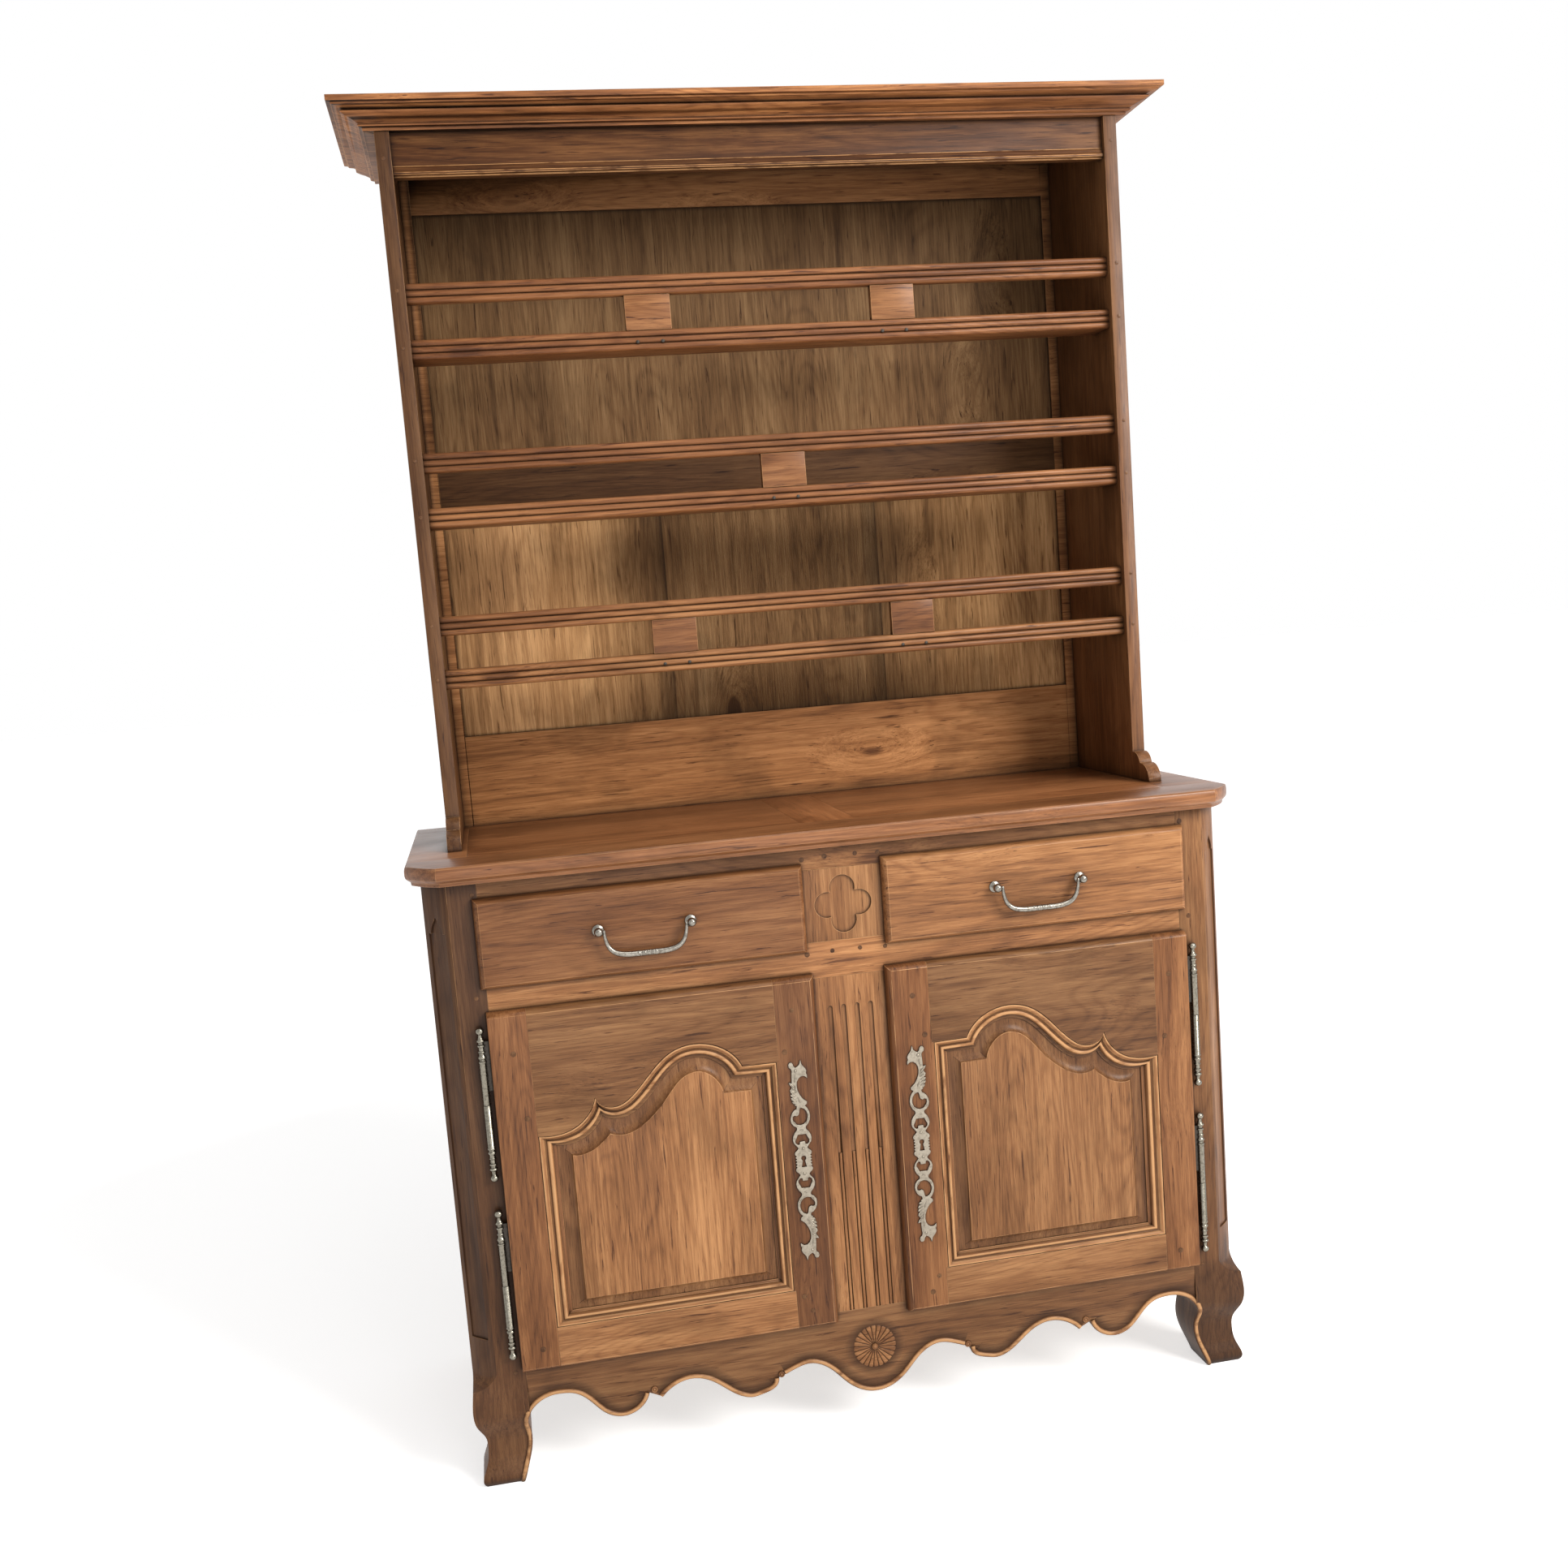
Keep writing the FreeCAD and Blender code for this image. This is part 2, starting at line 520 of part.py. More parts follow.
RUNNER_Z = ("drawer_sill - runner_thick", "drawer_sill")
GUIDE_Z = ("drawer_sill", "drawer_sill + guide_high")
bearers = [
    board("outer_runner", (OPEN_SIDE + " - runner_wide", OPEN_SIDE), INNER_Y, RUNNER_Z),
    board("outer_guide", (OPEN_SIDE, OPEN_SIDE + " + guide_thick"), ("post_depth", INNER_Y[1]),
          ("drawer_sill - runner_thick", GUIDE_Z[1])),
    board("shelf_bearer", (SIDE_IN + " - bearer", SIDE_IN), SIDE_Y, ("shelf_high - bearer", "shelf_high")),
]
bearers += [mirrored(piece.Name + "_left", piece) for piece in bearers]
bearers.append(board("centre_runner", ("0 - stile_half - runner_wide", "stile_half + runner_wide"), INNER_Y,
                     RUNNER_Z))
bearers.append(board("centre_guide", ("0 - stile_half", "stile_half"), INNER_Y, GUIDE_Z))
node(group("runners_and_bearers", *bearers), "runners_and_bearers")


# Drawers
def lipped(name, edges, insets):
    """The proud part of a drawer or door front: a slab with an ovolo worked on its edges."""
    x_low, x_high, z_low, z_high = edges
    sections = []
    for index, (share, y) in enumerate([(0, "0 - gap"), (0, "0 - gap - lip_land"), (0.22, "0 - proud * 0.66"),
                                        (0.6, "0 - proud * 0.9"), (1, "0 - proud")]):
        outline = rectangle(x_low + share * insets[0], x_high - share * insets[1],
                            z_low + share * insets[2], z_high - share * insets[3])
        sections.append(drawing("%s_step_%d" % (name, index), "front", outline, y=y))
    return lofted(name, sections)


def turned(name, role, axis, profile, x, y, z):
    """A piece turned on a lathe: a PartDesign body with one revolved sketch."""
    body = doc.addObject("PartDesign::Body", name)
    plane = [feature for feature in body.Origin.OriginFeatures if feature.Role == role][0]
    sketch = body.newObject("Sketcher::SketchObject", name + "_sketch")
    sketch.AttachmentSupport, sketch.MapMode = [(plane, "")], "FlatFace"
    sketch.addGeometry(profile, False)
    spun = body.newObject("PartDesign::Revolution", name + "_turning")
    spun.Profile, spun.ReferenceAxis, spun.Angle = sketch, (sketch, [axis]), 360
    return place(body, x, y, z)


def ball_band(radius, middle, start, end, steps):
    """Points round a turned ball in a few straight bands, from one angle to another, in degrees."""
    angles = [math.radians(start + (end - start) * step / steps) for step in range(steps + 1)]
    return [(radius * math.cos(angle), middle + radius * math.sin(angle)) for angle in angles]


KNOB_Y = "0 - proud - knob_out"
INNER_FRONT_Y = ("0 - gap", "front_thick - proud")


def pull_knob(name, side):
    """One post of a pull: rose, neck and ball, with its shank in the drawer front."""
    rose, neck, ball, out = s.knob_rose / 2, s.knob_neck / 2, s.knob / 2, s.knob_out
    ball_start = math.degrees(math.acos(neck / ball))
    profile = curves((0, s.knob_shank_long), (s.knob_shank / 2, s.knob_shank_long), (s.knob_shank / 2, 0),
                     (rose, 0),
                     (neck, -s.knob_rose_thick), *ball_band(ball, -out, ball_start, -90, 3))
    x = "bail_mid %s bail_span / 2" % ("-" if side < 0 else "+")
    body = turned(name + "_turned", "XY_Plane", "V_Axis", profile, x, "0 - proud", "bail_high")
    start = x + (" + knob / 2 - bail_pin_long - gap" if side < 0 else " - knob / 2 - over")
    bore = rod(name + "_bore", "X", "bail_pin / 2 + pin_gap", "bail_pin_long + over + gap", start, KNOB_Y,
               "bail_high")
    return cut(name, body, bore)


# Half of the bail's line, from a ball to its middle: shares of the half span and of the drop;
# then half of its grip: shares of the grip's half length and of its middle ring's radius
BAIL_LINE_SHARES = [(1, 0), (0.945, 0.03), (0.91, 0.3), (0.8, 0.77), (0.48, 1)]
BAIL_SWELL_SHARE = 0.2
GRIP_SHARES = [(1, 0.5), (0.45, 0.92), (0.33, 0.92), (0.31, 0.6), (0.07, 0.6), (0.04, 1)]


def bail():
    """The hanging handle between the two balls, thicker towards the turned grip in its middle."""
    half = s.bail_span / 2 - s.knob / 2 - s.gap
    shares = BAIL_LINE_SHARES + [(-across, down) for across, down in reversed(BAIL_LINE_SHARES)]
    line = [Vector(across * half, 0, -down * s.bail_drop) for across, down in shares]
    sections = []
    for index, (across, down) in enumerate(shares):
        before, after = line[max(index - 1, 0)], line[min(index + 1, len(line) - 1)]
        runs = [run.normalize() for run in (line[index] - before, after - line[index]) if run.Length > 0]
        along = sum(runs, Vector()).normalize() if len(runs) > 1 else Vector(1, 0, 0)
        ring = Part.Circle(Vector(), Vector(0, 0, 1), s.bail_wire / 2 * (1 + BAIL_SWELL_SHARE * down))
        section = drawing("bail_section_%d" % index, "side", [ring],
                          x="bail_mid + ( bail_span / 2 - knob / 2 - gap ) * ( %s )" % across, y=KNOB_Y,
                          z="bail_high - bail_drop * %s" % down)
        section.Placement.Rotation = FreeCAD.Rotation(Vector(0, 1, 0), along.cross(Vector(0, 1, 0)), along,
                                                      "XYZ")
        sections.append(section)
    wire = lofted("bail_wire_loft", sections)
    grip = [(along * s.bail_grip / 2, out * s.bail_ring / 2) for along, out in GRIP_SHARES]
    profile = curves((grip[0][0], 0), *grip, *[(-x, r) for x, r in reversed(grip)], (-grip[0][0], 0))
    middle = turned("bail_grip_turned", "XZ_Plane", "H_Axis", profile, "bail_mid", KNOB_Y,
                    "bail_high - bail_drop")
    pins = [rod("bail_pin_%d" % i, "X", "bail_pin / 2", "bail_pin_long + gap * 2", x, KNOB_Y, "bail_high")
            for i, x in enumerate(("bail_mid - bail_span / 2 + knob / 2 - bail_pin_long",
                                   "bail_mid + bail_span / 2 - knob / 2 - gap * 2"))]
    return fuse("right_bail", wire, middle, *pins)


drawer_x = (s.stile_half - s.lap_end, s.case_half - s.post_wide + s.lap_post)
drawer_slab = lipped("drawer_slab", (*drawer_x, s.drawer_sill - s.lap_foot, s.drawer_head + s.lap_head),
                     (s.lip, s.lip, s.lip_foot, s.lip))
box_x = ("stile_half + run_gap", OPEN_SIDE + " - run_gap")
drawer_inner = board("drawer_inner", box_x, INNER_FRONT_Y, ("drawer_sill + run_gap", "drawer_head - run_gap"))
shanks = [rod("shank_bore_%d" % i, "Y", "knob_shank / 2", "knob_shank_long + over",
              "bail_mid %s bail_span / 2" % sign, "0 - proud - over", "bail_high")
              for i, sign in enumerate("-+")]
DRAWER_Z = ("drawer_sill + gap", "drawer_sill + drawer_low_side")
DRAWER_Y = ("front_thick - proud", DRAWER_DEEP)
side_a = board("drawer_side_a", (box_x[0] + " + run_gap", box_x[0] + " + run_gap + drawer_side"), DRAWER_Y,
               DRAWER_Z)
side_b = board("drawer_side_b", (box_x[1] + " - run_gap - drawer_side", box_x[1] + " - run_gap"), DRAWER_Y,
               DRAWER_Z)
BETWEEN = (box_x[0] + " + run_gap + drawer_side", box_x[1] + " - run_gap - drawer_side")
drawer_back = board("drawer_back", BETWEEN, (DRAWER_DEEP + " - drawer_side", DRAWER_DEEP), DRAWER_Z)
drawer_base = board("right_drawer_bottom", BETWEEN, ("front_thick - proud", DRAWER_DEEP + " - drawer_side"),
                    ("drawer_sill + drawer_bottom_up", "drawer_sill + drawer_bottom_up + drawer_bottom"))
right_drawer = {
    "drawer_front": cut("right_drawer_front", fuse("drawer_front_blank", drawer_slab, drawer_inner), *shanks),
    "drawer_box": group("right_drawer_box", side_a, side_b, drawer_back),
    "drawer_bottom": drawer_base,
    "pull_knobs": group("right_pull_knobs", pull_knob("knob_inner", -1), pull_knob("knob_outer", 1)),
    "bail": bail(),
}
for part_name, piece in right_drawer.items():
    node(piece, "right_" + part_name)
    node(mirrored("left_" + part_name, piece), "left_" + part_name)

# Doors: a moulded frame with an arched top rail that rises to one side, and a raised panel.
# Both outlines are shares of the opening's width from the lock side, and of the arch's rise.
ARCH_OPENING_SHARES = [(0, 0.602), (0.143, 0.611),
                       [(0.197, 0.841), (0.338, 1), (0.432, 0.929), (0.522, 0.69), (0.608, 0.398),
                        (0.668, 0.283),
                        (0.716, 0.292), (0.759, 0.434)],
                       [(0.789, 0.23), (0.849, 0.062), (0.924, -0.009), (1, 0)]]
ARCH_FIELD_SHARES = [(0.116, 0.248), (0.23, 0.265),
                     [(0.254, 0.451), (0.327, 0.602), (0.386, 0.558), (0.446, 0.372), (0.505, 0.15),
                      (0.565, -0.018), (0.614, -0.106), (0.708, -0.097)],
                     [(0.738, -0.186), (0.776, -0.274), (0.819, -0.327), (0.868, -0.327)]]
FIELD_FOOT_SHARE = 0.81
lock_edge = s.stile_half - s.lap_lock
hinge_edge = s.case_half - s.post_wide + s.door_hinge_lip
open_lock = lock_edge + s.lip + s.door_stile + s.door_shoulder
open_hinge = hinge_edge - s.door_stile
open_low = s.door_sill - s.lap_foot + s.lip_foot + s.door_rail_low
door_low, door_high = s.door_sill - s.lap_foot, s.door_head + s.lap_door_head
inset_all = s.mould_wide + s.bevel_wide


def arch_point(opening, field, share):
    """A point between the opening's outline (share 0) and the field's (share 1)."""
    x = opening[0] + (field[0] - opening[0]) * share
    up = opening[1] + (field[1] - opening[1]) * share
    return (open_lock + x * (open_hinge - open_lock), s.door_head - s.arch_below_head + up * s.arch_rise)


def foot_point(hinge_side, share):
    """A lower corner of the panel outline, between opening and field."""
    column = -1 if hinge_side else 0
    opening, field = ARCH_OPENING_SHARES[column], ARCH_FIELD_SHARES[column]
    if hinge_side:
        opening, field = opening[-1], field[-1]
    return (arch_point(opening, field, share)[0], open_low + inset_all * FIELD_FOOT_SHARE * share)


def panel_outline(share):
    """The panel's outline, a share of the way from the opening's edge to the raised field."""
    moves = []
    for opening, field in zip(ARCH_OPENING_SHARES, ARCH_FIELD_SHARES):
        if isinstance(opening, list):
            moves.append([arch_point(a, b, share) for a, b in zip(opening, field)])
        else:
            moves.append(arch_point(opening, field, share))
    return curves(foot_point(True, share), foot_point(False, share), *moves)


def panel_loft(name, steps):
    """A solid through panel outlines, each given as its share and its depth."""
    return lofted(name, [drawing("%s_%d" % (name, index), "front", panel_outline(share), y=y)
                         for index, (share, y) in enumerate(steps)])


SIGHT = s.mould_wide / inset_all
GROOVE = (s.mould_wide - s.tongue_deep) / inset_all
frame_blank = fuse("door_frame_blank",
                   lipped("door_slab", (lock_edge, hinge_edge, door_low, door_high),
                          (s.lip, 0, s.lip_foot, s.lip)),
                   board("door_inner", box_x, INNER_FRONT_Y, ("door_sill + run_gap", "door_head - run_gap")))
moulding = panel_loft("door_moulding", [
    (0, "0 - proud - over"), (0, "0 - proud + quirk_deep"), (SIGHT * 0.4, "0 - proud + mould_deep * 0.56"),
    (SIGHT * 0.76, "0 - proud + mould_deep * 0.66"), (SIGHT * 0.8, "0 - proud + mould_deep"),
    (SIGHT, "0 - proud + mould_deep"), (SIGHT, "front_thick - proud + over")])
TONGUE_Y = ("0 - proud + mould_deep + panel_set_back",
            "0 - proud + mould_deep + panel_set_back + tongue_thick")
tongue = panel_loft("panel_tongue", [(GROOVE, TONGUE_Y[0]), (GROOVE, TONGUE_Y[1])])
# The panel's hollow: shares of its width, and of its rise to the arris round the field
HOLLOW_SHARES = [(0.03, 0), (0.48, 0.12), (0.82, 0.44), (0.97, 0.8)]
hollow = [(SIGHT + (1 - SIGHT) * near, TONGUE_Y[0] + " - ( panel_set_back + field_rise ) * %s" % rise)
          for near, rise in HOLLOW_SHARES]
raised = panel_loft("panel_field",
                    [(hollow[0][0], TONGUE_Y[1]), *hollow, (1, "0 - proud + mould_deep - field_rise")])
door_frame = cut("door_frame", frame_blank, moulding, tongue)

split_lock = open_lock - s.door_shoulder
foot_lock, foot_hinge = [foot_point(side, 0) for side in (False, True)]
field_lock, field_hinge = [foot_point(side, 1) for side in (False, True)]
spring_lock = [arch_point(ARCH_OPENING_SHARES[0], ARCH_FIELD_SHARES[0], share) for share in (0, 1)]
spring_hinge = [arch_point(ARCH_OPENING_SHARES[-1][-1], ARCH_FIELD_SHARES[-1][-1], share) for share in (0, 1)]
outer_low, outer_high = door_low - s.over, door_high + s.over
REGIONS = {
    "lock_stile": [(lock_edge - s.over, outer_low), (split_lock, outer_low), (split_lock, foot_lock[1]),
                   foot_lock,
                   field_lock, spring_lock[1], spring_lock[0], (split_lock, spring_lock[0][1]),
                   (split_lock, outer_high), (lock_edge - s.over, outer_high)],
    "foot_rail": [(split_lock, outer_low), (open_hinge, outer_low), foot_hinge, field_hinge, field_lock,
                  foot_lock,
                  (split_lock, foot_lock[1])],
    "hinge_stile": [(open_hinge, outer_low), (hinge_edge + s.over, outer_low),
                    (hinge_edge + s.over, outer_high),
                    (open_hinge, outer_high), spring_hinge[0], spring_hinge[1], field_hinge, foot_hinge],
    "arched_rail": [(split_lock, outer_high), (open_hinge, outer_high), spring_hinge[0], spring_hinge[1],
                    spring_lock[1], spring_lock[0], (split_lock, spring_lock[0][1])],
}


def door_member(name):
    """The stretch of the moulded frame that one stile or rail makes, mitred at its mouldings."""
    points = REGIONS[name]
    region = prism(name + "_region", "front", curves(*points), "front_thick + 2 * over", y="0 - proud - over")
    return common(name + "_blank", door_frame, region)


def door_tenon(name, lock_side, low, high):
    """A door rail's tenon in one of the stiles, between two heights."""
    x_low = split_lock - s.door_tenon if lock_side else open_hinge
    x_high = split_lock if lock_side else open_hinge + s.door_tenon
    return prism(name, "front", rectangle(x_low, x_high, low, high), "tongue_thick", y=TONGUE_Y[0])


foot_span = (door_low + s.lip_foot * 2.5, open_low - s.door_shoulder)
tenons = {
    "foot_rail": [door_tenon("foot_tenon_lock", True, *foot_span),
                  door_tenon("foot_tenon_hinge", False, *foot_span)],
    "arched_rail": [door_tenon("arch_tenon_lock", True, spring_lock[0][1] + s.lip, s.door_head - s.lip * 2),
                    door_tenon("arch_tenon_hinge", False, spring_hinge[0][1] + s.lip,
                               s.door_head - s.lip * 2)],
}
AXIS_X = OPEN_SIDE + " + hinge_out"
AXIS_Y = "0 - hinge_proud"
# The moving leaf ends in the wall of its barrel, clear of the pin's bore
door_leaves = [board("door_leaf_%d" % i, (OPEN_SIDE + " + door_hinge_lip - leaf_deep",
                                          AXIS_X + " - ( barrel + hinge_pin ) / 4"),
                     ("0 - hinge_proud - leaf_thick / 2", "0 - hinge_proud + leaf_thick / 2"),
                     (low + " + hinge_long * 0.75 - leaf_long / 2",
                      low + " + hinge_long * 0.75 + leaf_long / 2"))
               for i, low in enumerate(HINGE_LOWS)]


# The turned end of a hinge above its ball: shares of the end's length and of its ring's radius
HINGE_TURNING_SHARES = [(0.9, 0.5), (0.96, 1)]


def hinge_half(name, low, upper):
    """Half of a hinge barrel with its turned end and ball; the lower half carries the pin."""
    barrel, ring, neck, ball = s.barrel / 2, s.hinge_ring / 2, s.finial_neck / 2, s.finial / 2
    end, meet = s.hinge_long / 2, s.gap / 2
    tip = [*ball_band(ball, ball, -90, math.degrees(math.acos(neck / ball)), 3)[1:],
           *[(out * ring, along * s.hinge_turned) for along, out in HINGE_TURNING_SHARES],
           (barrel, s.hinge_turned)]
    if upper:
        bore = s.hinge_pin / 2 + s.pin_gap
        deep = end - s.hinge_pin_long - s.pin_gap * 10
        profile = curves((0, 0), *tip, (barrel, end - meet), (bore, end - meet), (bore, deep), (0, deep))
        profile = [curve.mirror(Vector(0, end, 0), Vector(1, 0, 0)) or curve for curve in profile]
    else:
        pin, top = s.hinge_pin / 2, end + s.hinge_pin_long
        profile = curves((0, 0), *tip, (barrel, end - meet), (pin, end - meet), (pin, top), (0, top))
    return turned(name, "XZ_Plane", "V_Axis", profile, AXIS_X, AXIS_Y, low)


door_halves = [fuse("door_hinge_%d" % i, hinge_half("door_barrel_%d" % i, low, True), door_leaves[i])
               for i, low in enumerate(HINGE_LOWS)]
post_halves = [fuse("post_hinge_%d" % i, hinge_half("post_barrel_%d" % i, low, False),
                    hinge_leaf("post_leaf_%d" % i, low))
               for i, low in enumerate(HINGE_LOWS)]
post_halves += [mirrored(half.Name + "_left", half) for half in post_halves]


# The lock plate's edge, from the middle round one end on its lock side first: shares of the plate's
# half width and of its reach; the other half is the same one turned half round
PLATE_EDGE_SHARES = [
    (0.65, 0), (0.812, 0.014), (0.65, 0.028), (0.812, 0.042), (0.662, 0.056), (0.787, 0.065),
    (0.844, 0.081), (0.775, 0.099), (0.562, 0.116), (0.431, 0.134), (0.637, 0.161), (0.85, 0.189),
    (0.925, 0.22), (0.875, 0.255), (0.7, 0.289), (0.475, 0.314), (0.431, 0.33), (0.475, 0.345),
    (0.713, 0.37), (0.887, 0.407), (0.938, 0.447), (0.875, 0.491), (0.7, 0.525), (0.5, 0.548),
    (0.713, 0.564), (0.738, 0.586), (0.325, 0.621), (0.062, 0.665), (-0.106, 0.708), (-0.156, 0.752),
    (-0.106, 0.789), (0.062, 0.82), (0.312, 0.839), (0.594, 0.841), (0.781, 0.832), (0.925, 0.816),
    (0.931, 0.845), (0.838, 0.866), (0.9, 0.891), (0.8, 0.916), (0.613, 0.937), (0.481, 0.957), (0.369, 1),
    (0.263, 0.96), (0.075, 0.942), (-0.163, 0.929), (-0.325, 0.947), (-0.381, 0.971), (-0.525, 0.986),
    (-0.713, 0.983), (-0.831, 0.963), (-0.775, 0.937), (-0.588, 0.922), (-0.531, 0.901), (-0.575, 0.866),
    (-0.6, 0.82), (-0.606, 0.783), (-0.912, 0.791), (-0.787, 0.763), (-0.6, 0.743), (-0.838, 0.713),
    (-0.775, 0.688), (-0.525, 0.671), (-0.838, 0.673), (-0.762, 0.65), (-0.494, 0.634), (-0.812, 0.639),
    (-0.725, 0.614), (-0.438, 0.601), (-0.731, 0.599), (-0.588, 0.578), (-0.388, 0.573), (-0.5, 0.563),
    (-0.287, 0.55), (-0.338, 0.525), (-0.575, 0.513), (-0.787, 0.491), (-0.95, 0.457), (-1, 0.422),
    (-0.938, 0.389), (-0.725, 0.358), (-0.487, 0.344), (-0.431, 0.33), (-0.475, 0.314), (-0.7, 0.289),
    (-0.875, 0.255), (-0.925, 0.22), (-0.85, 0.189), (-0.637, 0.161), (-0.431, 0.134), (-0.562, 0.116),
    (-0.775, 0.099), (-0.844, 0.081), (-0.787, 0.065), (-0.662, 0.056), (-0.812, 0.042), (-0.65, 0.028),
    (-0.812, 0.014)
]
PLATE_RING_SHARES = [
    (0.119, 0.532), (0.412, 0.517), (0.606, 0.491), (0.7, 0.458), (0.688, 0.429), (0.562, 0.395),
    (0.287, 0.369), (-0.062, 0.36), (-0.412, 0.369), (-0.662, 0.391), (-0.787, 0.425), (-0.769, 0.452),
    (-0.588, 0.461), (-0.35, 0.453), (-0.163, 0.465), (-0.106, 0.487), (-0.062, 0.509), (-0.013, 0.527)
]
PLATE_BELL_SHARES = [
    (0.406, 0.268), (0.537, 0.239), (0.7, 0.209), (0.662, 0.184), (0.463, 0.166), (0.275, 0.17),
    (0.25, 0.196), (-0.25, 0.196), (-0.275, 0.17), (-0.463, 0.166), (-0.662, 0.184), (-0.7, 0.209),
    (-0.537, 0.239), (-0.406, 0.268)
]
KEYHOLE_SHARES = [
    (0.119, 0.006), (0.256, -0.059), (-0.256, -0.059), (-0.119, 0.006), (-0.225, 0.02), (-0.244, 0.036),
    (-0.163, 0.05), (0, 0.055), (0.163, 0.05), (0.244, 0.036), (0.225, 0.02)
]


def escutcheon():
    """A long pierced lock plate with a crested head at each end."""
    def points(shares, hand=1):
        return [(-hand * x * s.plate_wide / 2, hand * up * s.plate_reach) for x, up in shares]

    def flat(name, outline, length, y):
        return prism(name, "front", curves(*outline), length, x="stile_half - lap_lock + lip + plate_in", y=y,
                     z="plate_mid")
    plate = flat("escutcheon_blank", points(PLATE_EDGE_SHARES) + points(PLATE_EDGE_SHARES, -1), "plate_thick",
                 "0 - proud - plate_thick")
    holes = [("ring_up", points(PLATE_RING_SHARES)), ("ring_down", points(PLATE_RING_SHARES, -1)),
             ("bell_up", points(PLATE_BELL_SHARES)), ("bell_down", points(PLATE_BELL_SHARES, -1)),
             ("keyhole", points(KEYHOLE_SHARES))]
    return cut("right_escutcheon", plate,
               *[flat(name, outline, "plate_thick + 2 * over", "0 - proud - plate_thick - over")
                                            for name, outline in holes])


right_door = {
    "lock_stile": cut("right_lock_stile", door_member("lock_stile"), tenons["foot_rail"][0],
                      tenons["arched_rail"][0]),
    "hinge_stile": cut("right_hinge_stile", door_member("hinge_stile"), tenons["foot_rail"][1],
                       tenons["arched_rail"][1], *door_leaves),
    "foot_rail": fuse("right_foot_rail", door_member("foot_rail"), *tenons["foot_rail"]),
    "arched_rail": fuse("right_arched_rail", door_member("arched_rail"), *tenons["arched_rail"]),
    "door_panel": fuse("right_door_panel", tongue, raised),
    "door_hinges": group("right_door_hinges", *door_halves),
    "escutcheon": escutcheon(),
}
for part_name, piece in right_door.items():
    node(piece, "right_" + part_name)
    node(mirrored("left_" + part_name, piece), "left_" + part_name)
node(group("post_hinges", *post_halves), "post_hinges")

# The right door's lock, with a bolt that shoots into the centre stile
LOCK_X = ("stile_half + lock_clear", "stile_half + lock_clear + lock_wide")
LOCK_Y = ("front_thick - proud", "front_thick - proud + lock_thick")
bolt_y = ("front_thick - proud + lock_thick / 2 - bolt_thick / 2",
          "front_thick - proud + lock_thick / 2 + bolt_thick / 2")
bolt_z = ("plate_mid - bolt_high / 2", "plate_mid + bolt_high / 2")
channel = board("bolt_channel", (LOCK_X[0] + " - over", LOCK_X[0] + " + bolt_long + gap"),
                (bolt_y[0] + " - pin_gap", bolt_y[1] + " + pin_gap"),
                (bolt_z[0] + " - pin_gap", bolt_z[1] + " + pin_gap"))
node(cut("lock_case",
         board("lock_case_blank", LOCK_X, LOCK_Y, ("plate_mid - lock_high / 2", "plate_mid + lock_high / 2")),
         channel), "lock_case")
node(board("lock_bolt", (LOCK_X[0], LOCK_X[0] + " + bolt_long"), bolt_y, bolt_z), "lock_bolt")


# The cupboard top: a moulded frame with canted front corners, a muntin and two panels
def top_outline(inset):
    """The top's plan, drawn in by an inset everywhere but at the back."""
    half, front, back = top_half - inset, -s.top_over + inset, s.case_depth
    near, side = top_half - s.top_cant_x - inset * 0.4, s.top_cant_y - s.top_over - inset * 0.2
    bulge = ((near + half) / 2 + s.cant_crown, (front + side) / 2 - s.cant_crown)
    return curves((-half, back), (-half, side), ((-bulge[0], bulge[1]), (-near, front)), (near, front),
                  ((bulge[0], bulge[1]), (half, side)), (half, back))


TOP_STEPS = [(0, 1), (0.18, 0.92), (0.26, 0.5), (0.36, 0.12), (0.5, 0), (0.74, 0)]
top_sections = [drawing("top_step_%d" % i, "plan", top_outline(share * s.top_cove),
                        z="case_high + top_thick * %s" % up)
                for i, (up, share) in enumerate(TOP_STEPS)]
top_sections += [drawing("top_step_%d" % (len(TOP_STEPS) + i), "plan", top_outline(share * s.top_nose),
                         z="case_high + top_thick * %s" % up)
                         for i, (up, share) in enumerate([(0.92, 0.35), (1, 1)])]
TOP_Z = ("case_high", "case_high + top_thick")
FRAME_Y = ("top_frame_front - top_over", "case_depth - top_frame_back")
panel_right = board("top_panel_right", ("muntin_wide / 2", TOP_HALF + " - top_frame_end"), FRAME_Y, TOP_Z)
panel_left = mirrored("top_panel_left", panel_right)
muntin = board("top_muntin", ("0 - muntin_wide / 2", "muntin_wide / 2"), FRAME_Y, TOP_Z)
top_blank = lofted("top_blank", top_sections)
top_frame = cut("top_frame_whole", top_blank, panel_right, panel_left, muntin)
wide = ("0 - %s - over" % TOP_HALF, TOP_HALF + " + over")
high = ("case_high - over", "case_high + top_thick + over")
members = [
    common("top_front_rail", top_frame,
           board("top_front_region", wide, ("0 - top_over - over", FRAME_Y[0]), high)),
    common("top_back_rail", top_frame,
           board("top_back_region", wide, (FRAME_Y[1], "case_depth + over"), high)),
    common("top_end_right", top_frame, board("top_end_region", ("0", wide[1]), FRAME_Y, high)),
]
members.append(mirrored("top_end_left", members[-1]))
node(group("top_frame", *members), "top_frame")
node(muntin, "top_muntin")
node(group("top_panels", panel_right, panel_left), "top_panels")

